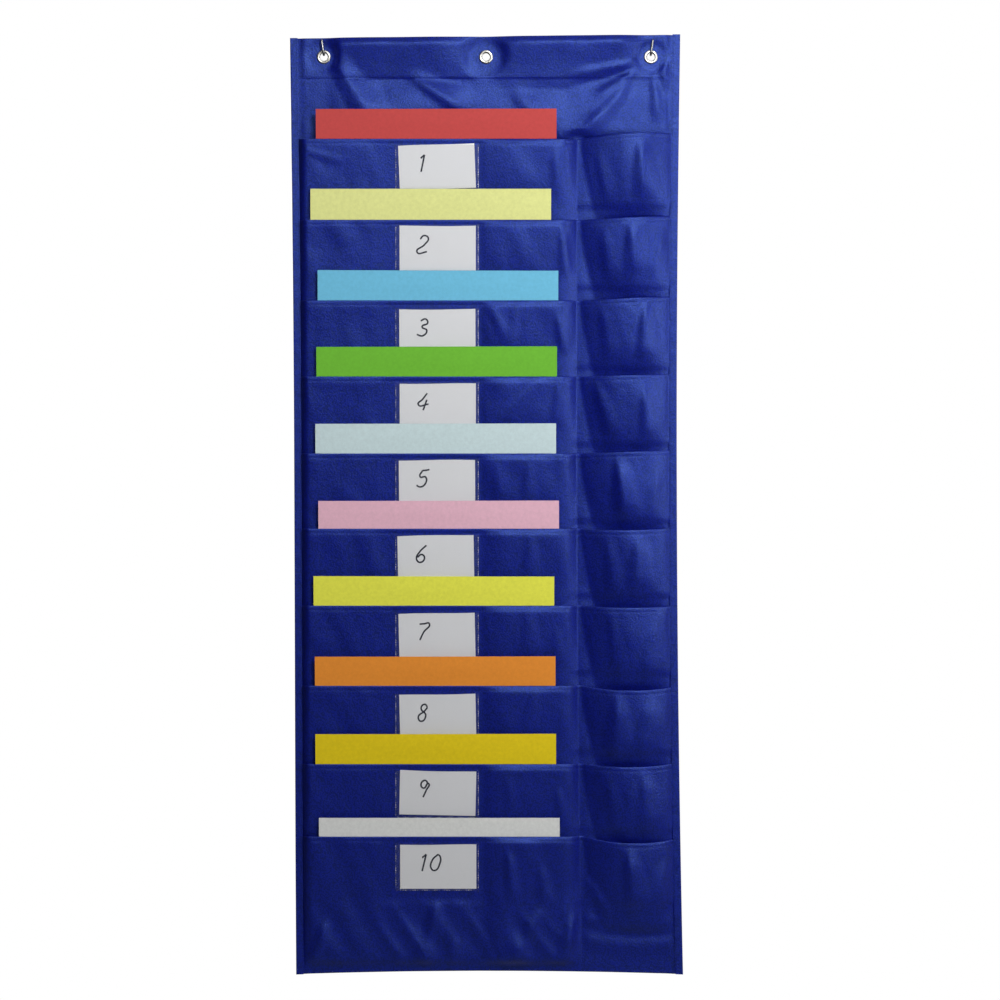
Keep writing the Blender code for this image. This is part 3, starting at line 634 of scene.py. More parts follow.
for row in range(ROWS):
    places = []
    flat_down = np.cumsum([0.0] + [
        abs(b[0] - a[0]) + LAYER * abs(b[1] - a[1]) for a, b in zip(strip_rows, strip_rows[1:])
    ])
    foot = mouth_height(row) - STRIP_HEIGHT
    if row == ROWS - 1:
        foot = bottom_edge(strip_across) + LAST_FOOT
    length = mouth_edge(row, strip_across) - foot
    for down, angle in strip_rows:
        stretched = down * length / STRIP_HEIGHT if down > HEM_DOWN else down
        z, back = turned(mouth_edge(row, strip_across), stretched, angle)
        places.append(np.stack([strip_across, np.full_like(z, back), z], axis=-1))
    places = np.array(places)
    x, z = places[..., 0], places[..., 2]
    downs = np.array([down for down, angle in strip_rows])[:, None]
    front = np.array([angle < 0.1 for down, angle in strip_rows])[:, None]
    folds = relax(strip_folds(row, x, z), 2)
    places[..., 1] -= strip_depth(row, x, z) + folds + np.where(front, hem_swell(downs), 0.0)
    front_line = np.hypot(np.diff(x[MOUTH_ROW]), np.diff(places[MOUTH_ROW, :, 1]))
    across = np.concatenate([[0.0], np.cumsum(front_line)])
    flat = np.stack(np.broadcast_arrays(across[None, :], flat_down[:, None]), axis=-1)
    places[..., 0] = hung_x(x, z)
    strip = sew(f"cloth_strip_{row + 1:02d}", places, flat, blue_cloth)
    strip_places[row] = places
    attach(strip, "root")
    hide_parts(f"pocket_strip_{row + 1:02d}")


# Bindings. A narrow tape of the same cloth, cut separately and folded lengthwise over each long
# edge, takes in the panel and the ends of the strips. It is stitched through near its inner edge.
TAPE_WIDTH = 0.009
# The tape's front leg stands off the panel's face by its slack, and farther out over the strips
TAPE_SLACK = 0.0003
TAPE_FRONT = 0.0029
TAPE_BACK = 0.0008
TAPE_ROUND = 0.0006
TAPE_PAST_TOP = 0.0009
TAPE_PAST_FOOT = 0.0004
TAPE_ROWS = 330
# The stitching puckers the tape in waves of these heights and lengths
PUCKERS = ((0.00012, 0.0062), (0.0001, 2.0 * math.pi * 0.0037))
# The first blue is the lit tape, and the second is the same tape in painted shade.
tape_cloth = woven("blue_tape", (0.0036, 0.0074, 0.222), (0.0015, 0.0035, 0.108))


def binding(name, side, replaced):
    """One folded tape, its legs and its rounded fold worked out across its cut width."""
    outer = side * HALF_WIDTH
    strips_start = mouth_height(0) + NARROW_RISE + TAPE_WIDTH
    top, foot = top_edge(outer) + TAPE_PAST_TOP, bottom_edge(outer) - TAPE_PAST_FOOT
    heights = np.linspace(top, foot, TAPE_ROWS)
    leg = [TAPE_WIDTH - step for step in np.linspace(0.0, TAPE_WIDTH - TAPE_ROUND, 7)]
    turn = [math.pi / 2 * share for share in (0.25, 0.5, 0.75, 1.0)]
    places, flat = [], []
    for z in heights:
        over = float(smooth((strips_start + TAPE_WIDTH - z) / TAPE_WIDTH))
        front = CLOTH + TAPE_SLACK + (TAPE_FRONT - CLOTH - TAPE_SLACK) * over + LAYER
        back = TAPE_BACK + LAYER
        pucker = sum(high * math.sin(2.0 * math.pi * z / long) for high, long in PUCKERS)
        line = [(inward, -front - (pucker if inward > 0.004 else 0.5 * pucker)) for inward in leg]
        line += [(TAPE_ROUND * (1 - math.sin(a)), -front + TAPE_ROUND * (1 - math.cos(a))) for a in turn]
        line += [(0.0, y) for y in np.linspace(-front + TAPE_ROUND, back - TAPE_ROUND, 4)[1:]]
        line += [(TAPE_ROUND * (1 - math.cos(a)), back - TAPE_ROUND * (1 - math.sin(a))) for a in turn]
        line += [(inward, back + pucker) for inward in reversed(leg[:-1])]
        risen = [z + (bottom_edge(outer - side * inward) - bottom_edge(outer)) * (top - z) / (top - foot)
                 for inward, y in line]
        places.append([(float(hung_x(outer - side * inward, high)), y, high)
                       for (inward, y), high in zip(line, risen)])
        steps = [math.dist(a, b) for a, b in zip(line, line[1:])]
        across = np.concatenate([[0.0], np.cumsum(steps)])
        flat.append(np.stack([across, np.full(len(line), top - z)], axis=-1))
    places, flat = np.array(places), np.array(flat)
    if side < 0.0:
        places, flat = places[:, ::-1], flat[:, ::-1]
    tape = sew(name, places, flat, tape_cloth)
    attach(tape, "root")
    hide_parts(replaced)
    return tape, places, (float(flat[0, :, 0].max()), float(top - foot))


left_tape, left_tape_places, tape_cut = binding("tape_left", -1.0, "left_binding")
right_tape, right_tape_places, tape_cut = binding("tape_right", 1.0, "right_binding")


# Stitching. Blue thread, a lockstitch of eight or nine stitches to the inch, along every hem, seam
# and tape. One stitch is modelled and copied along each line, half sunk into the cloth.
STITCH_PITCH = 0.0030
STITCH_LENGTH = 0.0024
STITCH_WIDTH = 0.00055
STITCH_HEIGHT = 0.0004
bpy.ops.object.select_all(action="DESELECT")
bpy.ops.mesh.primitive_uv_sphere_add(segments=6, ring_count=4, radius=0.5)
bpy.ops.object.mode_set(mode="EDIT")
bpy.ops.mesh.quads_convert_to_tris()
bpy.ops.object.mode_set(mode="OBJECT")
pattern = bpy.context.object
STITCH_POINTS = np.array([(v.co.z, v.co.x, v.co.y) for v in pattern.data.vertices])
STITCH_POINTS = STITCH_POINTS * (STITCH_LENGTH, STITCH_WIDTH, STITCH_HEIGHT)
STITCH_FACES = np.array([face.vertices[:] for face in pattern.data.polygons])
bpy.data.objects.remove(pattern)


def line_of(points, out=None, sunk=0.0):
    """Places, directions and outward ways of the stitches along a line of points on the cloth."""
    points = np.asarray(points, float)
    steps = np.linalg.norm(np.diff(points, axis=0), axis=1)
    run = np.concatenate([[0.0], np.cumsum(steps)])
    at = np.arange(STITCH_PITCH, run[-1] - STITCH_PITCH, STITCH_PITCH)
    behind, places, ahead = [
        np.stack([np.interp(at + step, run, points[:, axis]) for axis in range(3)], axis=1)
        for step in (-STITCH_PITCH / 2, 0.0, STITCH_PITCH / 2)
    ]
    way = ahead - behind
    way /= np.linalg.norm(way, axis=1)[:, None]
    out = np.broadcast_to(np.asarray(out, float), way.shape)
    out = out - way * (out * way).sum(axis=1)[:, None]
    out /= np.linalg.norm(out, axis=1)[:, None]
    return places + out * (CLOTH / 2 - sunk), way, out


def stitch(name, lines, finish, body="root", size=1.0):
    """One object that holds a copy of the stitch at each place of its lines."""
    places, ways, outs = (np.concatenate(part) for part in zip(*lines))
    sides = np.cross(outs, ways)
    shape = STITCH_POINTS * size
    points = (places[:, None] + ways[:, None] * shape[None, :, :1]
              + sides[:, None] * shape[None, :, 1:2] + outs[:, None] * shape[None, :, 2:])
    count = len(STITCH_POINTS)
    faces = STITCH_FACES[None] + (np.arange(len(places)) * count)[:, None, None]
    mesh = bpy.data.meshes.new(name)
    mesh.from_pydata(points.reshape(-1, 3).tolist(), [], faces.reshape(-1, 3).tolist())
    mesh.shade_smooth()
    mesh.materials.append(finish)
    made = bpy.data.objects.new(name, mesh)
    bpy.context.scene.collection.objects.link(made)
    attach(made, body)
    return made


def thread(name, colour, shade, roughness=0.6, shine=0.12, turns=700.0):
    """Twisted thread: a lit and a shaded strand in turn."""
    made, tree, shader = new_finish(name, {"Roughness": roughness, "Specular IOR Level": shine})
    place = node(tree, "TexCoord")
    twist = node(tree, "TexWave", {"Scale": turns}, bands_direction="DIAGONAL")
    strand = node(tree, "Mix", {"A": opaque(shade), "B": opaque(colour)}, data_type="RGBA")
    tree.links.new(place.outputs["Object"], twist.inputs["Vector"])
    tree.links.new(twist.outputs["Fac"], strand.inputs["Factor"])
    tree.links.new(strand.outputs["Result"], shader.inputs["Base Color"])
    return made


# Its second blue paints the shaded side of each twist of the same thread.
blue_thread = thread("blue_thread", (0.010, 0.018, 0.20), (0.004, 0.008, 0.09))
FRONT = (0.0, -1.0, 0.0)
BEHIND = (0.0, 1.0, 0.0)
HEM_LINE = 0.007
SEAM_LINE = 0.003
TO_BACK = (0.0, 2 * LAYER, 0.0)


def panel_line(height):
    """The line of the panel's front nearest to a height, between the tapes."""
    off = np.abs(panel_places[:, 0, 2] - height)
    nearest = np.argmin(np.where(panel_places[:, 0, 1] > 0.0, np.inf, off))
    return panel_places[nearest][np.abs(panel_across) < SEAM_REACH - 0.002]


header_line = panel_line(HEADER_STITCH)
foot_line = panel_line(bottom_edge(panel_across[0]) + HEM_LINE)
foot_front = foot_line * (1.0, 0.0, 1.0) + (0.0, -LOW_SEAM - LAYER, 0.0)
panel_stitching = stitch("header_and_hem_stitching", [
    line_of(header_line, FRONT),
    line_of(header_line + TO_BACK, BEHIND),
    line_of(foot_front, FRONT),
    line_of(foot_line + TO_BACK, BEHIND),
], blue_thread)
seam_lines = [line_of(panel_line(mouth_height(row) - STRIP_HEIGHT + SEAM_LINE), BEHIND)
              for row in range(ROWS - 1)]
divider_column = int(np.argmin(np.abs(panel_across - DIVIDER_MIDDLE)))
down_panel = panel_places[:, 0, 2] < mouth_height(0)
seam_lines.append(line_of(panel_places[down_panel, divider_column], BEHIND))
panel_seams = stitch("seams_behind", seam_lines, blue_thread)
for row in range(ROWS):
    places = strip_places[row]
    ends = np.abs(strip_across) < SEAM_REACH - 0.001
    mouth_line = places[HEM_ROW][ends]
    reach = places[:, 0, 2] > (mouth_height(row + 1) if row < ROWS - 1 else BOTTOM_EDGE + 0.004)
    column = places[reach & (np.arange(len(places)) >= MOUTH_ROW), DIVIDER_COLUMN]
    lines = [line_of(mouth_line, FRONT, sunk=0.0001), line_of(column, FRONT, sunk=0.0001)]
    if row == ROWS - 1:
        low = mouth_height(row) - NARROW_POCKET_HEIGHT + 0.004
        low_row = np.argmin(np.abs(places[:, -1, 2] - low))
        narrow = (strip_across > DIVIDER_PLACE + 0.002) & (strip_across < SEAM_REACH)
        lines.append(line_of(places[low_row][narrow], FRONT))
    mouth_stitching = stitch(f"strip_stitching_{row + 1:02d}", lines, blue_thread)
tape_lines = []
for places, inner_end in ((left_tape_places, -1), (right_tape_places, 0)):
    second = -2 if inner_end == -1 else 1
    tape_lines.append(line_of(places[:, second], FRONT))
    behind_end = 1 if inner_end == -1 else -2
    tape_lines.append(line_of(places[:, behind_end], BEHIND))
tape_stitching = stitch("tape_stitching", tape_lines, blue_thread)


# Card windows. A clear vinyl pocket on each file pocket, sewn to the strip on three sides with a
# clear thread whose glitter is painted as near-white strands, and open at the top, where its edge stands
# a little proud.
WINDOW_HEIGHT = 0.0596
WINDOW_DROP = 0.0075
WINDOW_DROP_SPREAD = 0.002
WINDOW_DROP_SHARES = (-0.3, -1.0, 0.9, -0.35, -0.45, -0.15, 0.45, 1.0, 0.0, 0.2)
VINYL = 0.00025
VINYL_STAND = 0.0012
VINYL_EDGE = 0.0023
VINYL_WAVE = 0.00025
WINDOW_STITCH = 0.0011


def on_strip(row, x, down, out):
    """Points in front of a file pocket's flat front: across, down its slope, and out from it."""
    x, down, out = np.broadcast_arrays(x, down, out)
    y = -FILE_DEPTH - 2 * LAYER + down * math.sin(FILE_SLOPE) - out * math.cos(FILE_SLOPE)
    z = mouth_height(row) - down * math.cos(FILE_SLOPE) - out * math.sin(FILE_SLOPE)
    return np.stack([x, y, z], axis=-1)


def clear_vinyl():
    """Soft clear vinyl: it shows what is behind it, with a faint haze and a wavy gloss."""
    made, tree, shader = new_finish("clear_vinyl", {
        "Base Color": (0.16, 0.18, 0.28, 1.0),
        "Alpha": 0.08,
        "Specular IOR Level": 0.6,
    })
    link = tree.links.new
    place = node(tree, "TexCoord")
    wave = node(tree, "TexNoise", {"Scale": 60.0, "Detail": 3.0})
    rubbed = node(tree, "MapRange", {"To Min": 0.08, "To Max": 0.24})
    ripple = node(tree, "Bump", {"Strength": 0.5, "Distance": 0.0008})
    link(place.outputs["Object"], wave.inputs["Vector"])
    link(wave.outputs["Fac"], rubbed.inputs["Value"])
    link(rubbed.outputs["Result"], shader.inputs["Roughness"])
    link(wave.outputs["Fac"], ripple.inputs["Height"])
    link(ripple.outputs["Normal"], shader.inputs["Normal"])
    return made


vinyl = clear_vinyl()
# Its near-white strands are painted glints, and its dark blue strands are the clear thread in painted
# shade over the blue cloth.
clear_thread_with_painted_glints = thread("clear_thread_with_painted_glints", (0.95, 0.97, 1.0), (0.08, 0.10, 0.34),
                      roughness=0.2, shine=0.5, turns=47.0)
window_across = np.concatenate([
    WINDOW_LEFT + np.linspace(0.0, VINYL_EDGE, 5),
    np.linspace(WINDOW_LEFT + VINYL_EDGE, WINDOW_RIGHT - VINYL_EDGE, 40)[1:-1],
    WINDOW_RIGHT - np.linspace(VINYL_EDGE, 0.0, 5),
])
window_down = np.concatenate([
    np.linspace(0.0, WINDOW_HEIGHT - VINYL_EDGE, 24)[:-1],
    WINDOW_HEIGHT - np.linspace(VINYL_EDGE, 0.0, 5),
])


def window_top(row):
    """How far down a strip its window starts."""
    return WINDOW_DROP + WINDOW_DROP_SPREAD * WINDOW_DROP_SHARES[row]


for row in range(ROWS):
    x, down = np.meshgrid(window_across, window_down)
    side = np.minimum(x - WINDOW_LEFT, WINDOW_RIGHT - x)
    side = np.minimum(side, WINDOW_HEIGHT - down)
    stand = VINYL_STAND * smooth(side / VINYL_EDGE)
    stand = stand + VINYL_WAVE * crumple(x, down, 0.02, 50.0 + row) * smooth(side / 0.006)
    places = on_strip(row, x, window_top(row) + down, stand + VINYL / 2 + 0.00005)
    flat = np.stack([x, down], axis=-1)
    window = sew(f"vinyl_window_{row + 1:02d}", places, flat, vinyl, thickness=VINYL)
    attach(window, "root")
    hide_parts(f"card_window_{row + 1:02d}")
    lift = VINYL + 0.0001 - CLOTH / 2
    out = (0.0, -math.cos(FILE_SLOPE), -math.sin(FILE_SLOPE))
    left, right = WINDOW_LEFT + WINDOW_STITCH, WINDOW_RIGHT - WINDOW_STITCH
    fall = window_top(row) + np.linspace(0.001, WINDOW_HEIGHT - WINDOW_STITCH, 20)
    foot = window_top(row) + WINDOW_HEIGHT - WINDOW_STITCH
    sides = ((left, fall), (right, fall), (np.linspace(left, right, 30), foot))
    lines = [line_of(on_strip(row, across, down, lift), out) for across, down in sides]
    stitch(f"window_stitching_{row + 1:02d}", lines, clear_thread_with_painted_glints, size=1.1)


# Number cards. White cards cut by hand, one in each window, numbered from one to ten with a black
# marker. They slide up out of their windows.
CARD_WIDTH = 0.094
CARD_HEIGHT = 0.055
CARD_THICKNESS = 0.0004
CARD_SHIFT = 0.0015
CARD_GAP = 0.0003
# The top edge is cut a little crooked
CARD_TRIM = 0.0004
CARD_TRIM_ABOVE = 0.0265
CARD_WAVE = 0.00008
WINDOW_RIM = 0.0025
CARD_SHIFT_SHARES = (0.0, 0.5, 0.3, 0.6, 0.0, -1.0, 0.0, 0.6, 0.6, 1.0)
CARD_TILTS = (2.2, 0.0, 0.2, 0.0, 0.4, 1.0, 1.2, 1.1, -1.2, 0.0)
DIGIT_HEIGHT = 0.021
DIGIT_PLACE = (-0.026, 0.033)
DIGIT_STEP = 0.0145
DIGIT_SLANT = 0.22
INK_WIDTH = 0.0021
INK_THICKNESS = 0.00007
# Each digit's strokes, as shares of its height from its lower left corner
DIGITS = {
    "1": (((0.12, 0.80), (0.24, 0.92), (0.31, 1.0)),
          ((0.31, 1.0), (0.30, 0.5), (0.29, 0.0))),
    "2": (((0.04, 0.80), (0.22, 1.0), (0.50, 0.86), (0.36, 0.46), (0.02, 0.03), (0.60, 0.05)),),
    "3": (((0.06, 0.90), (0.34, 1.0), (0.50, 0.78), (0.22, 0.55), (0.54, 0.34), (0.36, 0.02),
           (0.0, 0.10)),),
    "4": (((0.40, 1.0), (0.20, 0.64), (0.02, 0.34), (0.62, 0.36)),
          ((0.46, 0.62), (0.42, 0.3), (0.38, 0.0))),
    "5": (((0.18, 0.97), (0.12, 0.60), (0.44, 0.58), (0.52, 0.22), (0.26, 0.0), (0.0, 0.10)),
          ((0.18, 0.97), (0.38, 0.98), (0.58, 1.02))),
    "6": (((0.48, 1.0), (0.16, 0.62), (0.06, 0.20), (0.30, 0.0), (0.52, 0.24), (0.32, 0.46),
           (0.09, 0.30)),),
    "7": (((0.02, 0.95), (0.30, 0.97), (0.58, 0.98), (0.36, 0.48), (0.22, 0.0)),),
    "8": (((0.46, 0.84), (0.26, 1.0), (0.10, 0.78), (0.46, 0.34), (0.26, 0.0), (0.04, 0.24),
           (0.34, 0.60), (0.47, 0.82)),),
    "9": (((0.50, 0.78), (0.26, 1.0), (0.08, 0.74), (0.30, 0.54), (0.50, 0.82), (0.46, 0.40),
           (0.38, 0.0)),),
    "0": (((0.32, 1.0), (0.06, 0.66), (0.10, 0.16), (0.34, 0.04), (0.54, 0.44), (0.46, 0.88),
           (0.30, 1.0)),),
}


def paper(name, colour, mottle=0.09, roughness=0.72):
    """Paper or card: a solid colour with clouds of lighter pulp and a faint tooth."""
    made, tree, shader = new_finish(name, {"Roughness": roughness, "Specular IOR Level": 0.25})
    link = tree.links.new
    thin = [c * (1.0 - mottle * 2.0) for c in colour]
    full = [min(0.9, c * (1.0 + mottle * 2.0)) for c in colour]
    place = node(tree, "TexCoord")
    clouds = node(tree, "TexNoise", {"Scale": 240.0, "Detail": 6.0, "Roughness": 0.7})
    pulp = node(tree, "Mix", {"A": opaque(thin), "B": opaque(full)}, data_type="RGBA")
    fibre = node(tree, "TexNoise", {"Scale": 1500.0})
    tooth = node(tree, "Bump", {"Strength": 0.15, "Distance": 0.0001})
    link(place.outputs["Object"], clouds.inputs["Vector"])
    link(place.outputs["Object"], fibre.inputs["Vector"])
    link(clouds.outputs["Fac"], pulp.inputs["Factor"])
    link(pulp.outputs["Result"], shader.inputs["Base Color"])
    link(fibre.outputs["Fac"], tooth.inputs["Height"])
    link(tooth.outputs["Normal"], shader.inputs["Normal"])
    return made


def marker_ink():
    """Black marker, soaked unevenly into the card."""
    made, tree, shader = new_finish("marker_ink", {"Roughness": 0.55})
    place = node(tree, "TexCoord")
    soak = node(tree, "TexNoise", {"Scale": 700.0})
    tone = node(tree, "Mix", {"A": (0.006, 0.006, 0.007, 1.0), "B": (0.02, 0.02, 0.022, 1.0)},
                data_type="RGBA")
    tree.links.new(place.outputs["Object"], soak.inputs["Vector"])
    tree.links.new(soak.outputs["Fac"], tone.inputs["Factor"])
    tree.links.new(tone.outputs["Result"], shader.inputs["Base Color"])
    return made


white_card = paper("white_card", (0.88, 0.885, 0.875), mottle=0.03)
ink = marker_ink()


def written(number):
    """The strokes of a number as one flat mesh of ink, in the card's own plane."""
    strokes = []
    for place, digit in enumerate(str(number)):
        for stroke in DIGITS[digit]:
            strokes.append([((x + DIGIT_SLANT * y) * DIGIT_HEIGHT + place * DIGIT_STEP, y * DIGIT_HEIGHT)
                            for x, y in stroke])
    bpy.ops.object.select_all(action="DESELECT")
    bpy.ops.curve.primitive_bezier_curve_add()
    pen = bpy.context.object
    pen.data.splines.clear()
    pen.data.dimensions = "3D"
    pen.data.bevel_depth = INK_WIDTH / 2
    pen.data.bevel_resolution = 2
    pen.data.use_fill_caps = True
    pen.data.resolution_u = 10
    for stroke in strokes:
        spline = pen.data.splines.new("BEZIER")
        spline.bezier_points.add(len(stroke) - 1)
        for point, (x, y) in zip(spline.bezier_points, stroke):
            point.co = (x, y, 0.0)
            point.handle_left_type = point.handle_right_type = "AUTO"
    bpy.ops.object.convert(target="MESH")
    pen.data.transform(pen.matrix_world)
    pen.matrix_world.identity()
    return pen


for row in range(ROWS):
    turn = math.radians(CARD_TILTS[row])
    tall = CARD_HEIGHT * math.cos(turn) + CARD_WIDTH * math.sin(abs(turn))
    rest = window_top(row) + WINDOW_HEIGHT - WINDOW_RIM - CARD_GAP
    middle = (WINDOW_LEFT + WINDOW_RIGHT) / 2 + CARD_SHIFT * CARD_SHIFT_SHARES[row]
    card_down = rest - tall / 2

    def on_card(x, up, out):
        """Points over a card: across and up from its middle, and out from its front."""
        across = middle + x * math.cos(turn) - up * math.sin(turn)
        down = card_down - up * math.cos(turn) - x * math.sin(turn)
        return on_strip(row, across, down, CARD_GAP + CARD_THICKNESS + out)

    x, up = np.meshgrid(np.linspace(-CARD_WIDTH / 2, CARD_WIDTH / 2, 40),
                        np.linspace(CARD_HEIGHT / 2, -CARD_HEIGHT / 2, 24))
    trim = CARD_TRIM * np.sin(5.0 * x / CARD_WIDTH + row)
    wavy = CARD_WAVE * (crumple(x, up, 0.03, 70.0 + row) - 1.0)
    places = on_card(x, up - trim * (up > CARD_TRIM_ABOVE), wavy - CARD_THICKNESS * 0.45)
    card = sew(f"number_card_{row + 1:02d}", places, np.stack([x, up], axis=-1), white_card,
               thickness=CARD_THICKNESS * 0.85)
    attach(card, f"card_{row + 1:02d}")
    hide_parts(f"name_card_{row + 1:02d}")
    number = written(row + 1)
    number.name = number.data.name = f"card_number_{row + 1:02d}"
    start = (DIGIT_PLACE[0], CARD_HEIGHT / 2 - DIGIT_PLACE[1])
    points = np.empty(len(number.data.vertices) * 3)
    number.data.vertices.foreach_get("co", points)
    points = points.reshape(-1, 3)
    flat_ink = points[:, 2] / INK_WIDTH * 2.0 * INK_THICKNESS
    points = on_card(points[:, 0] + start[0], points[:, 1] + start[1], flat_ink)
    number.data.vertices.foreach_set("co", points.ravel())
    number.data.materials.clear()
    number.data.materials.append(ink)
    number.data.shade_smooth()
    number.data.update()
    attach(number, f"card_{row + 1:02d}")


# Coloured sheets. Stiff coloured paper, as wide as a page is long, stands in each file pocket and
# shows over its mouth. Each slides up out of its pocket.
SHEET_WIDTH = 0.297
SHEET_HEIGHT = 0.1869
LAST_SHEET_HEIGHT = 0.1757
SHEET_THICKNESS = 0.0004
SHEET_PLAY = 0.0004
SHEET_LIFT = 0.0037
SHEET_OFFSET = 0.0036
SHEET_STRAY = 0.007
FILE_MIDDLE = (DIVIDER_PLACE - SEAM_REACH) / 2
SHEET_STRAY_SHARES = (0.0, -0.97, 0.27, 0.1, -0.08, 0.44, -0.44, -0.17, -0.08, 0.54)
SHEET_LIFT_SHARES = (0.65, 1.0, 0.65, 0.65, 0.65, 0.0, 0.5, 0.5, 0.8, 0.0)
SHEET_TILTS = (0.1, 0.0, -0.15, 0.15, 0.1, 0.1, -0.1, 0.1, 0.1, 0.0)
SHEET_BOWS = (0.0010, 0.0008, 0.0010, 0.0009, 0.0006, 0.0008, 0.0008, 0.0010, 0.0008, 0.0006)
SHEET_WAVE = 0.0004
SHEET_COLOURS = (
    (0.505, 0.058, 0.055),
    (0.685, 0.707, 0.267),
    (0.144, 0.475, 0.680),
    (0.147, 0.461, 0.031),
    (0.543, 0.670, 0.687),
    (0.750, 0.440, 0.540),
    (0.765, 0.773, 0.073),
    (0.840, 0.269, 0.029),
    (0.790, 0.585, 0.006),
    (0.740, 0.750, 0.730),
)
for row in range(ROWS):
    height = LAST_SHEET_HEIGHT if row == ROWS - 1 else SHEET_HEIGHT
    needed = 4 * LAYER + SHEET_PLAY + SHEET_THICKNESS + 0.0003
    bottom = STRIP_HEIGHT * (FILE_DEPTH - needed) / (FILE_DEPTH - LOW_SEAM)
    sheet_down = bottom - SHEET_LIFT * SHEET_LIFT_SHARES[row] - height / 2
    middle = FILE_MIDDLE - SHEET_OFFSET + SHEET_STRAY * SHEET_STRAY_SHARES[row]
    turn = math.radians(SHEET_TILTS[row])
    x, up = np.meshgrid(np.linspace(-SHEET_WIDTH / 2, SHEET_WIDTH / 2, 75),
                        np.linspace(height / 2, -height / 2, 48))
    down = sheet_down - up * math.cos(turn) - x * math.sin(turn)
    across = middle + x * math.cos(turn) - up * math.sin(turn)
    shown = smooth((-0.002 - down) / 0.02)
    bow = SHEET_BOWS[row] * np.cos(math.pi * x / SHEET_WIDTH)
    bow = bow + SHEET_WAVE * crumple(x, up, 0.06, 80.0 + row)
    out = -4 * LAYER - SHEET_PLAY - SHEET_THICKNESS / 2 + shown * bow
    places = on_strip(row, across, down, out)
    made = sew(f"coloured_sheet_{row + 1:02d}", places, np.stack([x, up], axis=-1),
               paper(f"paper_{row + 1:02d}", SHEET_COLOURS[row]), thickness=SHEET_THICKNESS * 0.9)
    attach(made, f"sheet_{row + 1:02d}")
    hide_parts(f"file_sheet_{row + 1:02d}")


# Eyelets and washers. Pressed nickel-plated brass: a domed flange in front, a barrel through the
# header, and its end curled over a flat washer behind.
BORE_RADIUS = 0.00475
BARREL_WALL = 0.00045
FLANGE_RADIUS = 0.0085
FLANGE_HEIGHT = 0.0018
WASHER_THICKNESS = 0.0006
ROLL_WIDTH = 0.0013
CURL = 0.0004
SOFT_EDGE = 0.0002
FLANGE_RIM = 0.25
DOME_SHARE = 0.98
DOME_ROUND = 0.8
CLEARANCE = 0.0003
SPIN_STEPS = 72


def metal(name, colour, roughness, worn):
    """Plated metal: fine rubbing that changes its gloss, and a faint darker tarnish."""
    made, tree, shader = new_finish(name, {"Metallic": 1.0})
    link = tree.links.new
    place = node(tree, "TexCoord")
    rubs = node(tree, "TexNoise", {"Scale": 420.0, "Detail": 6.0})
    gloss = node(tree, "MapRange", {"To Min": roughness * 0.7, "To Max": roughness * 1.6})
    tarnish = node(tree, "Mix", {"A": opaque(worn), "B": opaque(colour)}, data_type="RGBA")
    dents = node(tree, "Bump", {"Strength": 0.2, "Distance": 0.00005})
    link(place.outputs["Object"], rubs.inputs["Vector"])
    link(rubs.outputs["Fac"], gloss.inputs["Value"])
    link(gloss.outputs["Result"], shader.inputs["Roughness"])
    link(rubs.outputs["Fac"], tarnish.inputs["Factor"])
    link(tarnish.outputs["Result"], shader.inputs["Base Color"])
    link(rubs.outputs["Fac"], dents.inputs["Height"])
    link(dents.outputs["Normal"], shader.inputs["Normal"])
    return made


def turned_ring(name, outline, place, finish):
    """A closed outline of radius and y, spun about the eyelet's axis."""
    bpy.ops.object.select_all(action="DESELECT")
    bpy.ops.mesh.primitive_circle_add(vertices=len(outline), radius=1.0)
    ring = bpy.context.object
    ring.name = ring.data.name = name
    for vertex, (radius, y) in zip(ring.data.vertices, outline):
        vertex.co = (place + radius, y, 0.0)
    bpy.ops.object.mode_set(mode="EDIT")
    bpy.ops.mesh.select_all(action="SELECT")
    bpy.ops.mesh.spin(steps=SPIN_STEPS, angle=2.0 * math.pi, center=(place, 0.0, 0.0),
                      axis=(0.0, 1.0, 0.0))
    bpy.ops.mesh.select_all(action="SELECT")
    bpy.ops.mesh.remove_doubles(threshold=0.000002)
    bpy.ops.mesh.normals_make_consistent(inside=False)
    bpy.ops.object.mode_set(mode="OBJECT")
    bpy.ops.object.shade_smooth_by_angle(angle=math.radians(50))
    ring.data.materials.append(finish)
    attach(ring, "root")
    return ring


def bend_points(centre, radius, start, end, steps):
    """Points of an arc in the outline's plane, angles in degrees."""
    angles = np.radians(np.linspace(start, end, steps))
    return [(centre[0] + radius * math.cos(a), centre[1] + radius * math.sin(a)) for a in angles]


nickel = metal("nickel", (0.62, 0.61, 0.57), 0.27, (0.36, 0.345, 0.31))
seat = -2 * LAYER - CLEARANCE
barrel = BORE_RADIUS + BARREL_WALL
crown = (barrel + FLANGE_RADIUS) / 2
roll = 2 * LAYER + CLEARANCE + WASHER_THICKNESS + CLEARANCE
dome = (FLANGE_RADIUS - BORE_RADIUS) / 2 * DOME_SHARE
flange = []
for share in np.linspace(0.0, 1.0, 13):
    swing = math.pi * (1.0 - share)
    raised = FLANGE_RIM + (1.0 - FLANGE_RIM) * math.sin(swing) ** DOME_ROUND
    flange.append((crown + dome * math.cos(swing) - BARREL_WALL / 4, seat - FLANGE_HEIGHT * raised))
curl = bend_points((barrel + ROLL_WIDTH - CURL, roll + CURL / 2), CURL, 90.0, -60.0, 6)
eyelet_outline = flange + [
    (FLANGE_RADIUS - BARREL_WALL, seat),
    (barrel + SOFT_EDGE, seat),
    (barrel, seat + SOFT_EDGE),
    (barrel, roll - SOFT_EDGE / 2),
] + list(reversed(curl)) + [
    (barrel + SOFT_EDGE, roll + BARREL_WALL),
    (BORE_RADIUS + SOFT_EDGE / 2, roll + BARREL_WALL - SOFT_EDGE),
    (BORE_RADIUS, roll),
]
near = 2 * LAYER + CLEARANCE
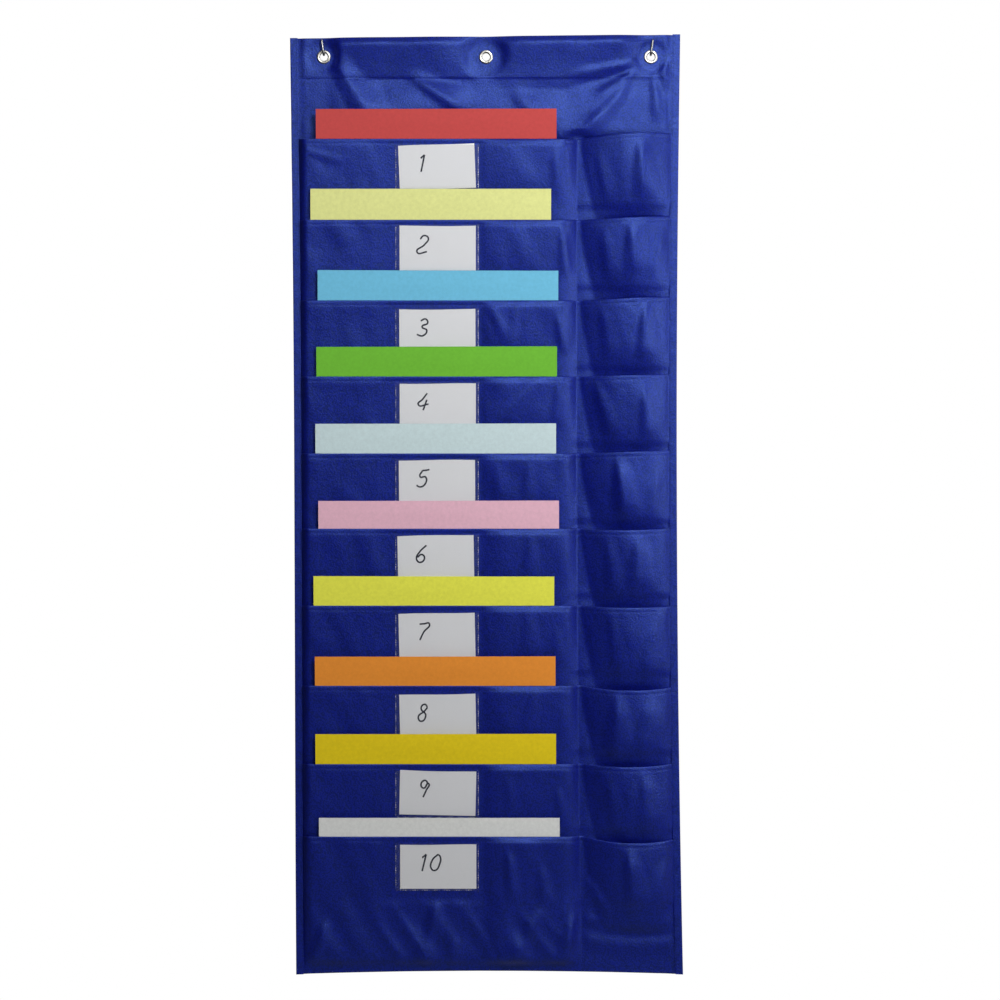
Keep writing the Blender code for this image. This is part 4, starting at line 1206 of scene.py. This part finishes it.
washer_outline = [
    (barrel + CLEARANCE, near),
    (FLANGE_RADIUS - SOFT_EDGE / 2, near),
    (FLANGE_RADIUS, near + SOFT_EDGE / 2),
    (FLANGE_RADIUS, near + WASHER_THICKNESS * 0.6),
    (FLANGE_RADIUS - 1.5 * SOFT_EDGE, near + WASHER_THICKNESS),
    (barrel + CLEARANCE + SOFT_EDGE, near + WASHER_THICKNESS),
    (barrel + CLEARANCE, near + 2 * SOFT_EDGE),
]
for side, place in EYELETS.items():
    ring = turned_ring(f"metal_eyelet_{side}", eyelet_outline, place, nickel)
    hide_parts(f"eyelet_{side}")
    ring = turned_ring(f"metal_washer_{side}", washer_outline, place, nickel)
    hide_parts(f"eyelet_washer_{side}")


# Hooks. Two S-hooks of bright steel wire with rounded tips. The lower bend passes through the
# eyelet's bore, and the upper bend stands open behind the header.
HOOK_WIRE = 0.003
HOOK_BEND = 0.004
HOOK_TOP_BEND = 0.0045
HOOK_TIP = 0.0215
HOOK_CROWN = 0.0205
HOOK_TAIL = 0.006
HOOK_LEAN = 8.0
PIVOT = BORE_RADIUS - CLEARANCE - HOOK_WIRE / 2
HOOK_FLANGE = 2 * LAYER + CLEARANCE + FLANGE_HEIGHT


def hook(name, place, lean, body, replaced):
    """Round wire along the hook's route, its radius closing at both tips."""
    leg = HOOK_FLANGE + HOOK_BEND
    top = HOOK_CROWN - PIVOT - HOOK_WIRE / 2 - HOOK_TOP_BEND
    route = [(-leg, z) for z in np.linspace(HOOK_TIP - PIVOT, HOOK_BEND, 12)]
    route += bend_points((-HOOK_FLANGE, HOOK_BEND), HOOK_BEND, 180.0, 270.0, 12)[1:]
    route += bend_points((HOOK_FLANGE, HOOK_BEND), HOOK_BEND, 270.0, 360.0, 12)
    route += bend_points((leg + HOOK_TOP_BEND, top), HOOK_TOP_BEND, 180.0, 0.0, 20)
    route += [(leg + 2 * HOOK_TOP_BEND, z) for z in np.linspace(top, top - HOOK_TAIL, 8)[1:]]
    route = np.array(route)
    run = np.concatenate([[0.0], np.cumsum(np.linalg.norm(np.diff(route, axis=0), axis=1))])
    tip = HOOK_WIRE / 2
    at = np.concatenate([
        tip * (1.0 - np.cos(np.linspace(0.0, math.pi / 2, 7))),
        np.linspace(tip, run[-1] - tip, 90)[1:-1],
        run[-1] - tip * (1.0 - np.cos(np.linspace(math.pi / 2, 0.0, 7))),
    ])
    ends = np.minimum(at, run[-1] - at) / tip
    radii = np.sqrt(np.clip(1.0 - (1.0 - np.minimum(ends, 1.0)) ** 2, 0.0004, 1.0))
    bpy.ops.object.select_all(action="DESELECT")
    bpy.ops.curve.primitive_bezier_curve_add()
    wire = bpy.context.object
    wire.name = wire.data.name = name
    wire.data.splines.clear()
    wire.data.bevel_depth = HOOK_WIRE / 2
    wire.data.bevel_resolution = 8
    wire.data.use_fill_caps = True
    spline = wire.data.splines.new("POLY")
    spline.points.add(len(at) - 1)
    turn = math.radians(lean)
    for point, here, radius in zip(spline.points, at, radii):
        y, z = np.interp(here, run, route[:, 0]), np.interp(here, run, route[:, 1])
        point.co = (place + z * math.sin(turn), y, PIVOT + z * math.cos(turn), 1.0)
        point.radius = radius
    bpy.ops.object.convert(target="MESH")
    bpy.ops.object.mode_set(mode="EDIT")
    bpy.ops.mesh.select_all(action="SELECT")
    bpy.ops.mesh.remove_doubles(threshold=0.000002)
    bpy.ops.mesh.normals_make_consistent(inside=False)
    bpy.ops.object.mode_set(mode="OBJECT")
    wire.data.shade_smooth()
    wire.data.materials.clear()
    wire.data.materials.append(steel)
    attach(wire, body)
    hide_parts(replaced)


steel = metal("steel_wire", (0.34, 0.34, 0.345), 0.26, (0.17, 0.17, 0.17))
hook("wire_hook_left", EYELETS["left"], -HOOK_LEAN, "hook_left", "hook_left")
hook("wire_hook_right", EYELETS["right"], HOOK_LEAN, "hook_right", "hook_right")


# Studio. A camera straight in front with a long lens. The key lamp is above and to the right, and
# a side lamp low at the right rakes over the folds. Two weak lamps fill in from the left and from
# the middle, and one lights the back. A pale floor lies below the hanging chart.
VIEW_CENTRE = (0.0173, -0.5482)
VIEW_WIDTH = 1.2375
CAMERA_DISTANCE = 6.0
FLOOR_HEIGHT = -1.31
FLOOR_RADIUS = 1.15
FADE_START = 0.35
FADE_END = 1.12
WHITE = (1.0, 1.0, 1.0)
bpy.context.scene.view_settings.view_transform = "Standard"
lens = bpy.data.cameras.new("camera")
lens.sensor_width = 36.0
lens.lens = lens.sensor_width * CAMERA_DISTANCE / VIEW_WIDTH
lens.clip_end = 50.0
camera = bpy.data.objects.new("camera", lens)
camera.location = (VIEW_CENTRE[0], -CAMERA_DISTANCE, VIEW_CENTRE[1])
camera.rotation_euler = (math.pi / 2, 0.0, 0.0)
bpy.context.scene.collection.objects.link(camera)
bpy.context.scene.camera = camera


def lamp(name, place, aim, size, power):
    """A square soft lamp that faces its aim."""
    bulb = bpy.data.lights.new(name, "AREA")
    bulb.size = size
    bulb.energy = power
    made = bpy.data.objects.new(name, bulb)
    made.location = place
    made.rotation_euler = (Vector(aim) - Vector(place)).to_track_quat("-Z", "Y").to_euler()
    bpy.context.scene.collection.objects.link(made)


lamp("key", (0.36, -1.4, 0.4), (0.0, 0.0, -0.35), 0.4, 16.4)
lamp("side", (1.25, -0.65, -0.32), (0.0, 0.0, -0.42), 0.5, 6.8)
lamp("left", (-0.48, -1.3, 0.02), (-0.1, 0.0, -0.3), 0.4, 2.4)
lamp("middle", (0.58, -1.35, -0.45), (0.0, 0.0, -0.5), 0.4, 2.7)
lamp("back", (-0.9, 2.2, 0.7), (0.0, 0.0, -0.5), 0.8, 26.0)


# The eye sees a white world. The object is lit by a weak even one, and shiny surfaces mirror a
# dim room that is palest above and to the right.
world = bpy.data.worlds.new("studio")
bpy.context.scene.world = world
world.use_nodes = True
sky = world.node_tree
link = sky.links.new
soft = sky.nodes["Background"]
soft.inputs["Color"].default_value = opaque(WHITE)
soft.inputs["Strength"].default_value = 0.08
white = node(sky, "Background", {"Color": opaque(WHITE)})
room = node(sky, "Background", {"Color": opaque(WHITE)})
way = node(sky, "TexCoord")
facing = node(sky, "VectorMath", {1: (0.5, 0.3, 0.81)}, operation="DOT_PRODUCT")
dim = node(sky, "MapRange", {"From Min": 0.0, "From Max": 0.8, "To Min": 0.01, "To Max": 0.5})
ray = node(sky, "LightPath")
mirrored = node(sky, "Math", operation="MAXIMUM")
for_mirror = node(sky, "MixShader")
for_eye = node(sky, "MixShader")
link(way.outputs["Generated"], facing.inputs[0])
link(facing.outputs["Value"], dim.inputs["Value"])
link(dim.outputs["Result"], room.inputs["Strength"])
link(ray.outputs["Is Glossy Ray"], mirrored.inputs[0])
link(ray.outputs["Is Transmission Ray"], mirrored.inputs[1])
link(mirrored.outputs[0], for_mirror.inputs["Fac"])
link(soft.outputs[0], for_mirror.inputs[1])
link(room.outputs[0], for_mirror.inputs[2])
link(ray.outputs["Is Camera Ray"], for_eye.inputs["Fac"])
link(for_mirror.outputs[0], for_eye.inputs[1])
link(white.outputs[0], for_eye.inputs[2])
link(for_eye.outputs[0], sky.nodes["World Output"].inputs["Surface"])

# The floor is pale where the eye sees it, keeps the chart's shadow, and fades to white outwards
bpy.ops.object.select_all(action="DESELECT")
bpy.ops.mesh.primitive_circle_add(vertices=96, radius=FLOOR_RADIUS, fill_type="NGON",
                                  location=(0.0, 0.0, FLOOR_HEIGHT))
floor = bpy.context.object
floor.name = "floor"
floor_look, flooring, matt = new_finish("floor", {"Base Color": (0.4, 0.4, 0.4, 1.0), "Roughness": 0.9})
link = flooring.links.new
seen = node(flooring, "LightPath")
glow = node(flooring, "Emission", {"Strength": 0.78})
raised = node(flooring, "AddShader")
pale = node(flooring, "MixShader")
white_edge = node(flooring, "Emission")
edge_mix = node(flooring, "MixShader")
spot = node(flooring, "TexCoord")
radial = node(flooring, "VectorMath", operation="LENGTH")
fade = node(flooring, "MapRange", {"From Min": FADE_START, "From Max": FADE_END},
            interpolation_type="SMOOTHSTEP")
fade_seen = node(flooring, "Math", operation="MULTIPLY")
link(matt.outputs[0], raised.inputs[0])
link(glow.outputs[0], raised.inputs[1])
link(seen.outputs["Is Camera Ray"], pale.inputs["Fac"])
link(matt.outputs[0], pale.inputs[1])
link(raised.outputs[0], pale.inputs[2])
link(spot.outputs["Object"], radial.inputs[0])
link(radial.outputs["Value"], fade.inputs["Value"])
link(fade.outputs["Result"], fade_seen.inputs[0])
link(seen.outputs["Is Camera Ray"], fade_seen.inputs[1])
link(fade_seen.outputs[0], edge_mix.inputs["Fac"])
link(pale.outputs[0], edge_mix.inputs[1])
link(white_edge.outputs[0], edge_mix.inputs[2])
link(edge_mix.outputs[0], flooring.nodes["Material Output"].inputs["Surface"])
floor.data.materials.append(floor_look)
